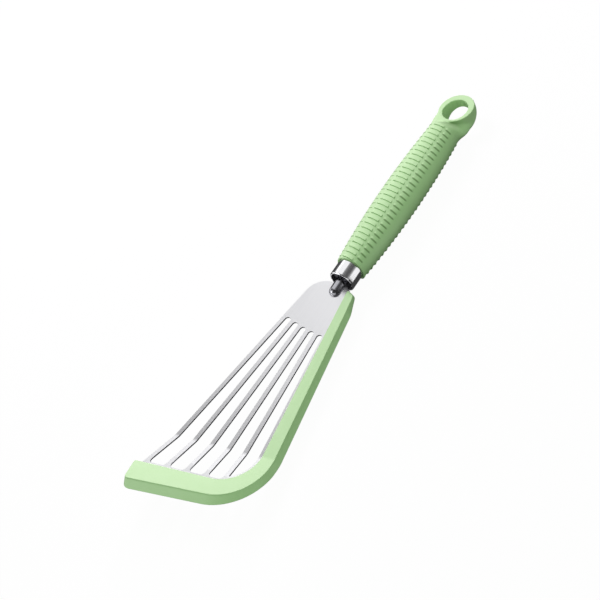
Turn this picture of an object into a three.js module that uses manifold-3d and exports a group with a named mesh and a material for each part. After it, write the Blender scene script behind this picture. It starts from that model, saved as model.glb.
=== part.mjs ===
// Slotted turner: a stainless blade with a silicone edge strip, a welded rod, a ferrule and a soft grip.
// Millimetres. +Y runs along the handle to its hang loop, +Z is up off the blade and +X is the strip's side.
// Lengths along Y count from the ferrule's mouth, and heights count from the handle's axis.
import * as THREE from 'three';
import { mergeVertices } from 'three/addons/utils/BufferGeometryUtils.js';
import Module from 'manifold-3d';

const wasm = await Module();
wasm.setup();

// Blade sheet
const sheetThickness = 1.0;
const bladeTopHeight = -2.3;
const bladeToFerruleGap = 0.4;
const leftShoulderRadius = 13;
const rightShoulderRadius = 13;
const frontCornerRadius = 3;

// Fan of tines: straight bars that radiate from one point on the handle, a little closer together to the right
const fanCentreX = -5;
const fanCentreY = 84;
const tineCount = 6;
const firstTineAngle = -9.15;
const tineAngleStep = 3.53;
const tineStepLoss = 0.09;
const tineWidth = 3.0;

// Slots between the tines, each a little shorter at the top than the one to its left
const slotTopRadius = 117.5;
const slotTopStep = 1.25;
const slotTopRounding = 2.4;
const slotEndRounding = 2.4;
const lastSlotToeRounding = 0.4;
const lastSlotSweepRadius = 15.8;
const slotBorder = 1.9;
const slotRoundingShare = 0.48;

// Bend that lifts the front lip
const bendY = -126.4;
const bendSlant = 5;
const bendAngle = 12;
const bendRadius = 20;
const bendSteps = 4;
const creaseSnap = 0.05;

// Silicone edge strip, measured in the flat before the lip is bent
const stripAboveSheet = 1.6;
const stripBelowSheet = 1.6;
const stripSideBorder = 2.85;
const stripSideBorderY = -110;
const stripSideTurn = 0.72;
const stripTopEndY = -3.7;
const stripTopEndSlant = 25;
const stripSideWidth = 6.06;
const stripSideFlare = 2.15;
const stripFrontY = -150.5;
const stripFrontSlant = 7.8;
const stripFrontWidth = 12.3;
const stripFrontFlare = 2.3;
const stripLeftEndX = -47.6;
const stripLeftEndAngle = 8;
const stripInnerCornerRadius = 21;
const stripOuterCornerRadius = 28;
const stripTopInnerRadius = 0.9;
const stripTopEndRadius = 2.8;
const stripFootEndRadius = 4;
const stripLeftEndRadius = 1.2;
const stripLeftFootRadius = 5;
const stripSideBevel = 1.7;
const stripSideBevelAngle = 0.35;
const stripFrontBevel = 3.9;
const stripEndBevel = 0.8;
const stripTaperY = -18;
const stripTaperAngle = 14;
const stripTaperRadius = 12;
const stripTaperTopShare = 0.1;
const stripFootChamfer = 0.5;

// Silicone outside the sheet's edge, and the pegs that key it through the sheet
const stripSideSkin = 2.2;
const stripFrontSkin = 5.0;
const keyHoleRadius = 1.2;
const keyHoleSides = 10;
const keyHoleTwist = 11;
const frontKeyCount = 6;
const frontKeyStartX = -40;
const frontKeySpacing = 9;
const sideKeyCount = 6;
const sideKeyStartY = -48;
const sideKeySpacing = 14;

// Rod
const rodRadius = 3.7;
const rodTipY = -11.3;
const rodTailY = 62;
const weldGap = 0.2;
const domeSteps = 8;

// Ferrule, and the disc set back in its mouth
const ferruleRadius = 8.4;
const ferruleWall = 1.0;
const ferruleLength = 22;
const ferruleChamfer = 0.8;
const discSetback = 2.0;
const discThickness = 1.2;

// Rigid core
const coreEndY = 112;
const coreEndRounding = 4;

// Soft grip: an oval barrel that narrows to both ends
const gripStartY = 10.8;
const gripMiddleY = 72;
const gripHalfReach = 61;
const gripMiddleWidth = 27.0;
const gripEndWidth = 19.4;
const gripMiddleHeight = 21.8;
const gripEndHeight = 19.1;
const gripRimRounding = 0.5;
const gripStations = 16;
const gripSides = 40;

// Neck and hang loop: the neck is scooped down to the loop's flat face, and its underside slopes up to the end
const neckStartY = 124;
const scoopEndY = 133.5;
const flareEndY = 134.5;
const neckSquareness = 2.6;
const neckStations = 8;
const loopCentreY = 145;
const loopHalfWidth = 12.3;
const loopHalfLength = 11.8;
const loopFaceHeight = 4.2;
const loopEdgeRounding = 0.7;
const loopHoleY = 143.6;
const loopHoleRadius = 8.7;
const loopSides = 48;
const loopEndThickness = 4.2;
const loopUndersideSlope = 25;

// Clearance between pieces that sit one inside the other
const fitGap = 0.3;

const degrees = THREE.MathUtils.degToRad;
const roundSides = 40;
const mergeDistance = 1e-5;

// A line on the plan. Heading 0 runs to the front (-Y), and heading 90 runs to the right (+X).
function line(x, y, heading) {
  const angle = degrees(heading);
  return {
    point: new THREE.Vector2(x, y),
    along: new THREE.Vector2(Math.sin(angle), -Math.cos(angle)),
    across: new THREE.Vector2(Math.cos(angle), Math.sin(angle)),
    heading,
  };
}

// The same line moved sideways: a fore-and-aft line moves to +X, a cross line to +Y.
function beside(base, distance) {
  const moved = base.point.clone().addScaledVector(base.across, distance);
  return line(moved.x, moved.y, base.heading);
}

function meet(first, second) {
  const gap = second.point.clone().sub(first.point);
  const share = gap.cross(second.along) / first.along.cross(second.along);
  return first.point.clone().addScaledVector(first.along, share);
}

// A closed outline through corners, each rounded by its own arc.
function roundedOutline(corners) {
  const points = [];
  corners.forEach(({ at, radius, steps = 6 }, index) => {
    const before = corners.at(index - 1).at.clone().sub(at).normalize();
    const after = corners[(index + 1) % corners.length].at.clone().sub(at).normalize();
    const halfAngle = before.angleTo(after) / 2;
    const reach = radius / Math.tan(halfAngle);
    const centre = before.clone().add(after).setLength(radius / Math.sin(halfAngle)).add(at);
    const start = before.multiplyScalar(reach).add(at).sub(centre);
    const finish = after.multiplyScalar(reach).add(at).sub(centre);
    const sweep = Math.atan2(start.cross(finish), start.dot(finish));
    for (let step = 0; step <= steps; step += 1) {
      points.push(start.clone().rotateAround(new THREE.Vector2(), (sweep * step) / steps).add(centre));
    }
  });
  return points;
}

function circle(centre, radius, sides, twist = 0) {
  return Array.from({ length: sides }, (_, side) => {
    const angle = (2 * Math.PI * side) / sides + degrees(twist);
    return new THREE.Vector2(Math.cos(angle), Math.sin(angle)).multiplyScalar(radius).add(centre);
  });
}

// Lines that the blade, its slots and the strip share
const tineAngle = (index) => firstTineAngle + index * tineAngleStep - (tineStepLoss * index * (index - 1)) / 2;
const tineLine = (index) => line(fanCentreX, fanCentreY, tineAngle(index));
const lastTine = tineLine(tineCount - 1);
const bladeLeft = beside(tineLine(0), -tineWidth / 2);
const bladeTop = line(0, -bladeToFerruleGap, 90);
const sideBorderPoint = meet(beside(lastTine, stripSideBorder - tineWidth / 2), line(0, stripSideBorderY, 90));
const stripInnerSide = line(sideBorderPoint.x, sideBorderPoint.y, lastTine.heading + stripSideTurn);
const stripInnerFront = line(0, stripFrontY, 90 + stripFrontSlant);
const stripTopCorner = meet(stripInnerSide, line(0, stripTopEndY, 90));
const stripTopEnd = line(stripTopCorner.x, stripTopCorner.y, 90 - stripTopEndSlant);
const stripOuterStart = meet(stripInnerSide, line(0, 0, 90)).x + stripSideWidth;
const stripOuterSide = line(stripOuterStart, 0, lastTine.heading + stripSideFlare);
const stripOuterFront = line(0, stripFrontY - stripFrontWidth, 90 + stripFrontSlant + stripFrontFlare);
const stripLeftEnd = line(stripLeftEndX, stripFrontY + stripLeftEndX * Math.tan(degrees(stripFrontSlant)),
  stripLeftEndAngle);

// The sheet's edge all round, grown by a clearance where the strip's pocket needs one.
function sheetOutline(grow) {
  const left = beside(bladeLeft, -grow);
  const top = beside(bladeTop, grow);
  const right = beside(stripOuterSide, grow - stripSideSkin);
  const front = beside(stripOuterFront, stripFrontSkin - grow);
  return roundedOutline([
    { at: meet(left, top), radius: leftShoulderRadius + grow, steps: 10 },
    { at: meet(left, front), radius: frontCornerRadius + grow },
    { at: meet(right, front), radius: stripOuterCornerRadius - stripSideSkin + grow, steps: 10 },
    { at: meet(right, top), radius: rightShoulderRadius + grow, steps: 8 },
  ]);
}

// The line of a slot's foot. It runs beside the strip's front, or touches an arc inside the strip's inner
// corner where that corner has already begun at the slot's left edge.
function slotFoot(left) {
  const cornerSide = beside(stripInnerSide, -stripInnerCornerRadius);
  const centre = meet(cornerSide, beside(stripInnerFront, stripInnerCornerRadius));
  const toCentre = centre.clone().sub(left.point);
  const offset = left.across.dot(toCentre);
  if (offset > 0) {
    return beside(stripInnerFront, slotBorder);
  }
  const halfChord = Math.sqrt((stripInnerCornerRadius - stripSideBorder) ** 2 - offset ** 2);
  const touch = left.point.clone().addScaledVector(left.along, left.along.dot(toCentre) + halfChord);
  const heading = Math.atan2(centre.y - touch.y, centre.x - touch.x);
  return line(touch.x, touch.y, THREE.MathUtils.radToDeg(heading));
}

// One slot between a tine and the next. The last one's foot sweeps round inside the strip's corner.
function slotOutline(index) {
  const left = beside(tineLine(index), tineWidth / 2);
  const right = beside(tineLine(index + 1), -tineWidth / 2);
  const middle = line(fanCentreX, fanCentreY, (tineAngle(index) + tineAngle(index + 1)) / 2);
  const topPoint = middle.point.clone().addScaledVector(middle.along, slotTopRadius + index * slotTopStep);
  const top = line(topPoint.x, topPoint.y, middle.heading + 90);
  const topWidth = meet(left, top).distanceTo(meet(right, top));
  const topRadius = Math.min(slotTopRounding, slotRoundingShare * topWidth);
  const foot = slotFoot(left);
  const isLast = index === tineCount - 2;
  return roundedOutline([
    { at: meet(left, top), radius: topRadius },
    { at: meet(left, foot), radius: isLast ? lastSlotToeRounding : slotEndRounding },
    { at: meet(right, foot), radius: isLast ? lastSlotSweepRadius : slotEndRounding, steps: isLast ? 10 : 6 },
    { at: meet(right, top), radius: topRadius },
  ]);
}

// Key holes or pegs, midway between the strip's inner edge and the sheet's edge.
// Each is turned a little from the last, so that no row of their corners falls on one straight line.
function keyOutlines(radius) {
  const sheetRight = beside(stripOuterSide, -stripSideSkin);
  const sheetFront = beside(stripOuterFront, stripFrontSkin);
  const places = [];
  for (let index = 0; index < frontKeyCount; index += 1) {
    const station = line(frontKeyStartX + index * frontKeySpacing, 0, 0);
    places.push(meet(station, stripInnerFront).lerp(meet(station, sheetFront), 0.5));
  }
  for (let index = 0; index < sideKeyCount; index += 1) {
    const station = line(0, sideKeyStartY - index * sideKeySpacing, 90);
    places.push(meet(station, stripInnerSide).lerp(meet(station, sheetRight), 0.5));
  }
  return places.map((place, index) => circle(place, radius, keyHoleSides, index * keyHoleTwist));
}

// The strip's outline at one level. Its inner edge stays, and its outer edge moves out by the bevel's spread.
// Beside the ferrule the side wall's foot draws in again, so that the wall stands upright at the tip.
function stripOutline(spread) {
  const sideHeading = stripOuterSide.heading + stripSideBevelAngle * spread;
  const side = line(stripOuterStart + stripSideBevel * spread, 0, sideHeading);
  const front = beside(stripOuterFront, -stripFrontBevel * spread);
  const left = beside(stripLeftEnd, -stripEndBevel * spread);
  const top = beside(stripTopEnd, stripEndBevel * spread);
  const leftRadius = THREE.MathUtils.lerp(stripLeftEndRadius, stripLeftFootRadius, spread);
  const taperStart = meet(side, line(0, stripTaperY, 90));
  const taperAngle = stripTaperAngle * THREE.MathUtils.lerp(stripTaperTopShare, 1, spread);
  const taper = line(taperStart.x, taperStart.y, sideHeading + taperAngle);
  const tipRadius = THREE.MathUtils.lerp(stripTopEndRadius, stripFootEndRadius, spread);
  return roundedOutline([
    { at: meet(stripInnerSide, top), radius: stripTopInnerRadius },
    { at: meet(stripInnerSide, stripInnerFront), radius: stripInnerCornerRadius, steps: 12 },
    { at: meet(left, stripInnerFront), radius: stripLeftEndRadius },
    { at: meet(left, front), radius: leftRadius },
    { at: meet(side, front), radius: stripOuterCornerRadius + stripFrontBevel * spread, steps: 14 },
    { at: taperStart, radius: stripTaperRadius },
    { at: meet(taper, top), radius: tipRadius },
  ]);
}

// Closed meshes as plain lists of points and triangles
function meshOf(geometry) {
  const bare = new THREE.BufferGeometry();
  bare.setAttribute('position', geometry.getAttribute('position').clone());
  bare.setIndex(geometry.getIndex());
  const merged = mergeVertices(bare, mergeDistance);
  const position = merged.getAttribute('position');
  const pointAt = (_, place) => new THREE.Vector3().fromBufferAttribute(position, place);
  const points = Array.from({ length: position.count }, pointAt);
  const index = Array.from(merged.getIndex().array);
  const faces = [];
  for (let corner = 0; corner < index.length; corner += 3) {
    const face = index.slice(corner, corner + 3);
    if (new Set(face).size === 3) {
      faces.push(face);
    }
  }
  return { points, faces };
}

function geometryOf({ points, faces }) {
  const geometry = new THREE.BufferGeometry().setFromPoints(points);
  geometry.setIndex(faces.flat());
  return geometry;
}

function solidOf(geometry) {
  const { points, faces } = meshOf(geometry);
  const vertProperties = new Float32Array(points.flatMap((point) => point.toArray()));
  const triVerts = new Uint32Array(faces.flat());
  return new wasm.Manifold(new wasm.Mesh({ numProp: 3, vertProperties, triVerts }));
}

function geometryOfSolid(solid) {
  const { vertProperties, triVerts } = solid.getMesh();
  const geometry = new THREE.BufferGeometry();
  geometry.setAttribute('position', new THREE.BufferAttribute(Float32Array.from(vertProperties), 3));
  geometry.setIndex(Array.from(triVerts));
  return geometry;
}

// A flat plate between two heights, with holes through it.
function plate(outline, holes, low, high) {
  const shape = new THREE.Shape(outline);
  shape.holes = holes.map((hole) => new THREE.Path(hole));
  return new THREE.ExtrudeGeometry(shape, { depth: high - low, bevelEnabled: false }).translate(0, 0, low);
}

// A skin through matching rings of points, closed by a flat cap at each end.
function loft(rings, toPlane) {
  const count = rings[0].length;
  const faces = [];
  for (let ring = 0; ring + 1 < rings.length; ring += 1) {
    for (let side = 0; side < count; side += 1) {
      const here = ring * count + side;
      const next = ring * count + ((side + 1) % count);
      faces.push([here, next, here + count], [next, next + count, here + count]);
    }
  }
  const lastRing = (rings.length - 1) * count;
  for (const [a, b, c] of THREE.ShapeUtils.triangulateShape(rings[0].map(toPlane), [])) {
    faces.push([c, b, a], [lastRing + a, lastRing + b, lastRing + c]);
  }
  const points = rings.flat();
  const volume = faces.reduce((sum, [a, b, c]) => sum + points[a].dot(points[b].clone().cross(points[c])), 0);
  return geometryOf({ points, faces: volume < 0 ? faces.map((face) => face.toReversed()) : faces });
}

// A turned solid about the handle's axis, from its profile of radius and Y.
function turned(profile, sides = roundSides) {
  return new THREE.LatheGeometry(profile.map(([radius, y]) => new THREE.Vector2(radius, y)), sides);
}

// Distance past the bend line, toward the front, of a point in the flat
const bendLine = line(0, bendY, 90 + bendSlant);
const pastBend = (point) => -bendLine.across.dot(new THREE.Vector2(point.x, point.y).sub(bendLine.point));
const bendArc = bendRadius * degrees(bendAngle);

// Cut every triangle that crosses one line parallel to the bend, so that the mesh can fold there.
function creaseAt({ points, faces }, level) {
  const reach = points.map((point) => pastBend(point) - level);
  const side = reach.map((distance) => (Math.abs(distance) < creaseSnap ? 0 : Math.sign(distance)));
  const cuts = new Map();
  const cutBetween = (a, b) => {
    const [first, last] = a < b ? [a, b] : [b, a];
    const key = `${first} ${last}`;
    if (!cuts.has(key)) {
      const share = reach[first] / (reach[first] - reach[last]);
      cuts.set(key, points.push(points[first].clone().lerp(points[last], share)) - 1);
    }
    return cuts.get(key);
  };
  const creased = [];
  for (const face of faces) {
    const behind = [];
    const ahead = [];
    face.forEach((from, index) => {
      const to = face[(index + 1) % 3];
      if (side[from] <= 0) {
        behind.push(from);
      }
      if (side[from] >= 0) {
        ahead.push(from);
      }
      if (side[from] * side[to] < 0) {
        const cut = cutBetween(from, to);
        behind.push(cut);
        ahead.push(cut);
      }
    });
    const liesOnCrease = behind.length === 3 && ahead.length === 3;
    for (const ring of liesOnCrease ? [behind] : [behind, ahead]) {
      for (let corner = 2; corner < ring.length; corner += 1) {
        creased.push([ring[0], ring[corner - 1], ring[corner]]);
      }
    }
  }
  return { points, faces: creased };
}

// Roll the front of a flat mesh up round the bend. The sheet's top face keeps the bend's radius.
function bendUp(geometry) {
  let mesh = meshOf(geometry);
  for (let step = 0; step <= bendSteps; step += 1) {
    mesh = creaseAt(mesh, bendArc * (step / bendSteps - 0.5));
  }
  for (const point of mesh.points) {
    const flat = pastBend(point);
    const turn = THREE.MathUtils.clamp(flat / bendRadius + degrees(bendAngle) / 2, 0, degrees(bendAngle));
    if (turn === 0) {
      continue;
    }
    const straight = Math.max(flat - bendArc / 2, 0);
    const radius = bendRadius - (point.z - bladeTopHeight);
    const bent = radius * Math.sin(turn) + straight * Math.cos(turn) - bendArc / 2;
    const rise = bendRadius - radius * Math.cos(turn) + straight * Math.sin(turn);
    const move = bendLine.across.clone().multiplyScalar(flat - bent);
    point.set(point.x + move.x, point.y + move.y, bladeTopHeight + rise);
  }
  return geometryOf(mesh);
}

function makeBlade() {
  const low = bladeTopHeight - sheetThickness;
  const slots = Array.from({ length: tineCount - 1 }, (_, index) => slotOutline(index));
  const holes = [...slots, ...keyOutlines(keyHoleRadius)];
  const punch = (hole) => solidOf(plate(hole, [], low - sheetThickness, bladeTopHeight + sheetThickness));
  const sheet = solidOf(plate(sheetOutline(0), [], low, bladeTopHeight));
  return bendUp(geometryOfSolid(holes.reduce((rest, hole) => rest.subtract(punch(hole)), sheet)));
}

function makeEdgeStrip() {
  const low = bladeTopHeight - sheetThickness - stripBelowSheet;
  const high = bladeTopHeight + stripAboveSheet;
  const footInset = 1 - stripFootChamfer / stripFrontBevel;
  const levels = [
    [low, stripOutline(footInset)],
    [low + stripFootChamfer, stripOutline(1)],
    [high, stripOutline(0)],
  ];
  const rings = levels.map(([z, outline]) => outline.map((point) => new THREE.Vector3(point.x, point.y, z)));
  const body = solidOf(loft(rings, (point) => new THREE.Vector2(point.x, point.y)));
  const pegs = keyOutlines(keyHoleRadius - fitGap);
  const pocketLow = bladeTopHeight - sheetThickness - fitGap;
  const pocket = solidOf(plate(sheetOutline(fitGap), pegs, pocketLow, bladeTopHeight + fitGap));
  return bendUp(geometryOfSolid(body.subtract(pocket)));
}

function makeRod() {
  const dome = Array.from({ length: domeSteps }, (_, step) => {
    const angle = (Math.PI / 2) * (step / domeSteps);
    return [rodRadius * Math.sin(angle), rodTipY + rodRadius * (1 - Math.cos(angle))];
  });
  const shaft = [[rodRadius, rodTipY + rodRadius], [rodRadius, rodTailY], [0, rodTailY]];
  const rod = solidOf(turned([...dome, ...shaft]));
  const flatLength = -bladeToFerruleGap + fitGap - rodTipY;
  const flat = new THREE.BoxGeometry(4 * rodRadius, flatLength, 2 * rodRadius);
  flat.translate(0, rodTipY + flatLength / 2, bladeTopHeight + weldGap - rodRadius);
  return geometryOfSolid(rod.subtract(solidOf(flat)));
}

function makeFerrule() {
  const bore = ferruleRadius - ferruleWall;
  return turned([
    [bore, 0],
    [ferruleRadius - ferruleChamfer, 0],
    [ferruleRadius, ferruleChamfer],
    [ferruleRadius, ferruleLength],
    [bore, ferruleLength],
    [bore, 0],
  ]);
}

function makeFerruleDisc() {
  const rim = ferruleRadius - ferruleWall - fitGap;
  const hole = rodRadius + fitGap;
  const back = discSetback + discThickness;
  return turned([[hole, discSetback], [rim, discSetback], [rim, back], [hole, back], [hole, discSetback]]);
}

function makeHandleCore() {
  const start = discSetback + discThickness + fitGap;
  const spigot = ferruleRadius - ferruleWall - fitGap;
  const shoulder = ferruleLength + fitGap;
  const bore = rodRadius + fitGap;
  return turned([
    [bore, start],
    [spigot, start],
    [spigot, shoulder],
    [ferruleRadius, shoulder],
    [ferruleRadius, coreEndY - coreEndRounding],
    [ferruleRadius - coreEndRounding, coreEndY],
    [0, coreEndY],
    [0, rodTailY + fitGap],
    [bore, rodTailY + fitGap],
    [bore, start],
  ]);
}

// Half width and half height of the grip's oval at one place along the handle.
function gripOval(y) {
  const bulge = 1 - ((y - gripMiddleY) / gripHalfReach) ** 2;
  return [
    THREE.MathUtils.lerp(gripEndWidth, gripMiddleWidth, bulge) / 2,
    THREE.MathUtils.lerp(gripEndHeight, gripMiddleHeight, bulge) / 2,
  ];
}

// A section of the grip. Squareness 2 is an oval, and more of it fills out the corners.
function gripSection(y, halfWidth, topHeight, bottomHeight, squareness = 2) {
  const bulge = (share) => Math.sign(share) * Math.abs(share) ** (2 / squareness);
  return circle(new THREE.Vector2(), 1, gripSides).map((point) => {
    const height = point.y > 0 ? topHeight : bottomHeight;
    return new THREE.Vector3(bulge(point.x) * halfWidth, y, bulge(point.y) * height);
  });
}

// Barrel and neck. The neck's top drops by an S-curve to just under the loop's face.
function gripBarrel() {
  const [rimWidth, rimHeight] = gripOval(gripStartY).map((half) => half - gripRimRounding);
  const rings = [gripSection(gripStartY, rimWidth, rimHeight, rimHeight)];
  for (let station = 0; station <= gripStations; station += 1) {
    const y = THREE.MathUtils.lerp(gripStartY + gripRimRounding, neckStartY, station / gripStations);
    const [halfWidth, halfHeight] = gripOval(y);
    rings.push(gripSection(y, halfWidth, halfHeight, halfHeight));
  }
  const [neckWidth, neckHeight] = gripOval(neckStartY);
  for (let station = 1; station <= neckStations; station += 1) {
    const y = THREE.MathUtils.lerp(neckStartY, loopCentreY, station / neckStations);
    const spread = THREE.MathUtils.smoothstep(y, neckStartY, loopCentreY);
    const scoop = THREE.MathUtils.smoothstep(y, neckStartY, scoopEndY);
    const flare = THREE.MathUtils.smoothstep(y, neckStartY, flareEndY);
    const halfWidth = THREE.MathUtils.lerp(neckWidth, loopHalfWidth - loopEdgeRounding, flare);
    const topHeight = THREE.MathUtils.lerp(neckHeight, loopFaceHeight - fitGap, scoop);
    const squareness = THREE.MathUtils.lerp(2, neckSquareness, spread);
    rings.push(gripSection(y, halfWidth, topHeight, neckHeight, squareness));
  }
  return loft(rings, (point) => new THREE.Vector2(point.x, point.z));
}

// The loop's outline from its face down to the level of the barrel's underside
function loopBody() {
  const levels = [
    [-gripMiddleHeight / 2, 0],
    [loopFaceHeight - loopEdgeRounding, 0],
    [loopFaceHeight, loopEdgeRounding],
  ];
  const ringAt = ([z, inset]) => circle(new THREE.Vector2(), 1, loopSides).map((point) => new THREE.Vector3(
    point.x * (loopHalfWidth - inset),
    loopCentreY + point.y * (loopHalfLength - inset),
    z,
  ));
  return loft(levels.map(ringAt), (point) => new THREE.Vector2(point.x, point.y));
}

// All that lies under the slope on the underside of the neck and loop
function undersideCut() {
  const depth = gripMiddleHeight;
  const length = 4 * loopHalfLength;
  const block = new THREE.BoxGeometry(2 * gripMiddleWidth, length, depth);
  block.translate(0, loopHalfLength - length / 2, -depth / 2);
  block.rotateX(degrees(loopUndersideSlope));
  return block.translate(0, loopCentreY + loopHalfLength, loopFaceHeight - loopEndThickness);
}

function makeGrip() {
  const hole = new THREE.CylinderGeometry(loopHoleRadius, loopHoleRadius, 2 * gripMiddleHeight, loopSides);
  hole.rotateX(Math.PI / 2).translate(0, loopHoleY, 0);
  const bore = ferruleRadius + fitGap;
  const boreEnd = coreEndY + fitGap;
  const sleeveBore = turned([
    [0, 0],
    [bore, 0],
    [bore, boreEnd - coreEndRounding],
    [bore - coreEndRounding, boreEnd],
    [0, boreEnd],
  ]);
  const outside = solidOf(gripBarrel()).add(solidOf(loopBody()));
  const cuts = [hole, undersideCut(), sleeveBore];
  return geometryOfSolid(cuts.reduce((rest, cut) => rest.subtract(solidOf(cut)), outside));
}

// Finishes
const brushedSteel = { color: 0xd9d9dc, roughness: 0.35, metalness: 1.0 };
const polishedSteel = { color: 0xd4d4d8, roughness: 0.12, metalness: 1.0 };
const paleGreenSilicone = { color: 0xc6e8b4, roughness: 0.6, metalness: 0.0 };
const greyNylon = { color: 0x8b8f88, roughness: 0.55, metalness: 0.0 };

function piece(name, geometry, finish) {
  geometry.computeVertexNormals();
  const mesh = new THREE.Mesh(geometry, new THREE.MeshStandardMaterial(finish));
  mesh.name = name;
  return mesh;
}

const turner = new THREE.Group();
turner.add(
  piece('blade', makeBlade(), brushedSteel),
  piece('edge_strip', makeEdgeStrip(), paleGreenSilicone),
  piece('shank_rod', makeRod(), polishedSteel),
  piece('ferrule', makeFerrule(), polishedSteel),
  piece('ferrule_disc', makeFerruleDisc(), brushedSteel),
  piece('handle_core', makeHandleCore(), greyNylon),
  piece('grip', makeGrip(), paleGreenSilicone),
);

// The origin is at the middle of the object's footprint, on the level of its lowest point.
const extent = new THREE.Box3().setFromObject(turner, true);
const middle = extent.getCenter(new THREE.Vector3());
turner.position.set(-middle.x, -middle.y, -extent.min.z);

export default turner;
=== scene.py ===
"""Slotted kitchen turner: makes its pieces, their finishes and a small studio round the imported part."""

from math import atan2, cos, pi, radians, sin, sqrt, tan
from typing import NamedTuple

import bmesh
import bpy
import numpy as np
from bpy.props import FloatProperty, FloatVectorProperty, IntProperty, PointerProperty
from mathutils import Matrix, Vector


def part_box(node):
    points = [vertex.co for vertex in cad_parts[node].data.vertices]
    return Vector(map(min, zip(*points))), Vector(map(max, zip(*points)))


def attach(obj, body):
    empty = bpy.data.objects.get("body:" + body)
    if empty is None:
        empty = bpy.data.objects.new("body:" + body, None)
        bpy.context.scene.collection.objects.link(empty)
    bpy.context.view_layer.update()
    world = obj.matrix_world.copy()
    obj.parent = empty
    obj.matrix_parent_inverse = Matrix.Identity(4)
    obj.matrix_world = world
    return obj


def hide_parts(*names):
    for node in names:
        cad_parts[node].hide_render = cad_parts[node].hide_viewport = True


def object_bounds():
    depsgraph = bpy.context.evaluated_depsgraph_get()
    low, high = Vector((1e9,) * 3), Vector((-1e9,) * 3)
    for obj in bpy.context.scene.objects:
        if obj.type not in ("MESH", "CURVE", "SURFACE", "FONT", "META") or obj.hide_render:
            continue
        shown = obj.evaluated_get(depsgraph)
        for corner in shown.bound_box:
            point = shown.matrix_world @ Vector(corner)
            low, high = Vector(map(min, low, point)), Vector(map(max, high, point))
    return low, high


bl_info = {
    "name": "Slotted turner",
    "version": (1, 0, 0),
    "blender": (4, 5, 0),
    "location": "3D View > Sidebar > Turner",
    "description": "Makes a slotted kitchen turner with a silicone edge and a ribbed grip",
    "category": "Object",
}

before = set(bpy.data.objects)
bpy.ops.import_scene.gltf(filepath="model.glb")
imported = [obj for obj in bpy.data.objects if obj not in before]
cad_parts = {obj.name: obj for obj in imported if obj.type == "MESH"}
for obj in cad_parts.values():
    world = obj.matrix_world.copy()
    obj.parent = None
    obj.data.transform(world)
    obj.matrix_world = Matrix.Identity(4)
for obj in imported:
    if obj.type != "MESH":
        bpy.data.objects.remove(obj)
CAD_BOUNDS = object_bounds()

MM = 0.001

# Points that are nearer to each other than this, in metres, count as one.
SAME_POINT = 1e-6
SAME_RIB_POINT = 1e-8

# The handle's axis meets the ferrule's mouth here. Every size below counts from this point.
ferrule_low, ferrule_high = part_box("ferrule")
AXIS = Vector((
    (ferrule_low.x + ferrule_high.x) / 2,
    ferrule_low.y,
    (ferrule_low.z + ferrule_high.z) / 2,
))
FERRULE_RADIUS = (ferrule_high.z - ferrule_low.z) / 2
FERRULE_LENGTH = ferrule_high.y - ferrule_low.y
rod_low, rod_high = (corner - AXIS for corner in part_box("shank_rod"))
disc_low, disc_high = (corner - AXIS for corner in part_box("ferrule_disc"))
sheet_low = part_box("blade")[0] - AXIS
strip_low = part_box("edge_strip")[0] - AXIS
grip_low, grip_high = (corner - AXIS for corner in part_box("grip"))


def linear(hex_colour):
    """The linear values of an sRGB hex colour."""
    channels = (int(hex_colour[place:place + 2], 16) / 255 for place in (1, 3, 5))
    return tuple(c / 12.92 if c <= 0.04045 else ((c + 0.055) / 1.055) ** 2.4 for c in channels)


def size(name, millimetres, description):
    """A length that a user may change."""
    return FloatProperty(name=name, description=description, default=millimetres * MM, unit="LENGTH")


def turn(name, in_degrees, description):
    """An angle that a user may change."""
    return FloatProperty(name=name, description=description, default=radians(in_degrees), subtype="ANGLE")


def count(name, number, description):
    """A count that a user may change."""
    return IntProperty(name=name, description=description, default=number, min=1)


def number(name, value, description):
    """A plain number that a user may change."""
    return FloatProperty(name=name, description=description, default=value, min=0)


def lamp_power(name, watts, description):
    """A lamp's power that a user may change."""
    return FloatProperty(name=name, description=description, default=watts, min=0, unit="POWER")


def view_axis(name, towards, description):
    """A direction of the picture that a user may change."""
    return FloatVectorProperty(name=name, description=description, default=towards, subtype="XYZ")


def colour(name, hex_colour, description):
    """A colour that a user may change."""
    return FloatVectorProperty(
        name=name, description=description, default=linear(hex_colour), subtype="COLOR", min=0, max=1,
    )


class BladeSizes(bpy.types.PropertyGroup):
    """Sheet blade and its fan of slots."""

    thickness: size("Thickness", 1.0, "Thickness of the steel sheet")
    edge_chamfer: size("Edge chamfer", 0.06, "Broken edge of the punched sheet")
    ferrule_gap: size("Ferrule gap", 0.4, "From the ferrule's mouth to the sheet's end")
    left_shoulder: size("Left shoulder", 13, "Radius of the sheet's left shoulder")
    right_shoulder: size("Right shoulder", 13, "Radius of the sheet's right shoulder")
    front_corner: size("Front corner", 3, "Radius of the sheet's left front corner, inside the strip")
    fan_x: size("Fan centre X", -5, "Point on the handle that the tines radiate from")
    fan_y: size("Fan centre Y", 84, "Point on the handle that the tines radiate from")
    tine_count: count("Tines", 6, "Bars left between and beside the slots")
    first_angle: turn("First tine", -9.15, "Heading of the left tine")
    angle_step: turn("Tine step", 3.53, "Turn from the first tine to the second")
    step_loss: turn("Tine step loss", 0.09, "How much less each later tine turns")
    tine_width: size("Tine width", 3.0, "Width of each tine")
    slot_top: size("Slot top", 117.5, "From the fan's centre to the top of the left slot")
    slot_top_step: size("Slot top step", 1.25, "How much later each next slot starts")
    slot_rounding: size("Slot rounding", 2.4, "Radius of the slots' corners")
    toe_rounding: size("Last slot toe", 0.4, "Radius of the last slot's sharp toe")
    sweep_radius: size("Last slot sweep", 15.8, "Radius of the last slot's swept foot")
    slot_border: size("Slot border", 1.9, "Steel left between the slots and the strip's front")


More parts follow.
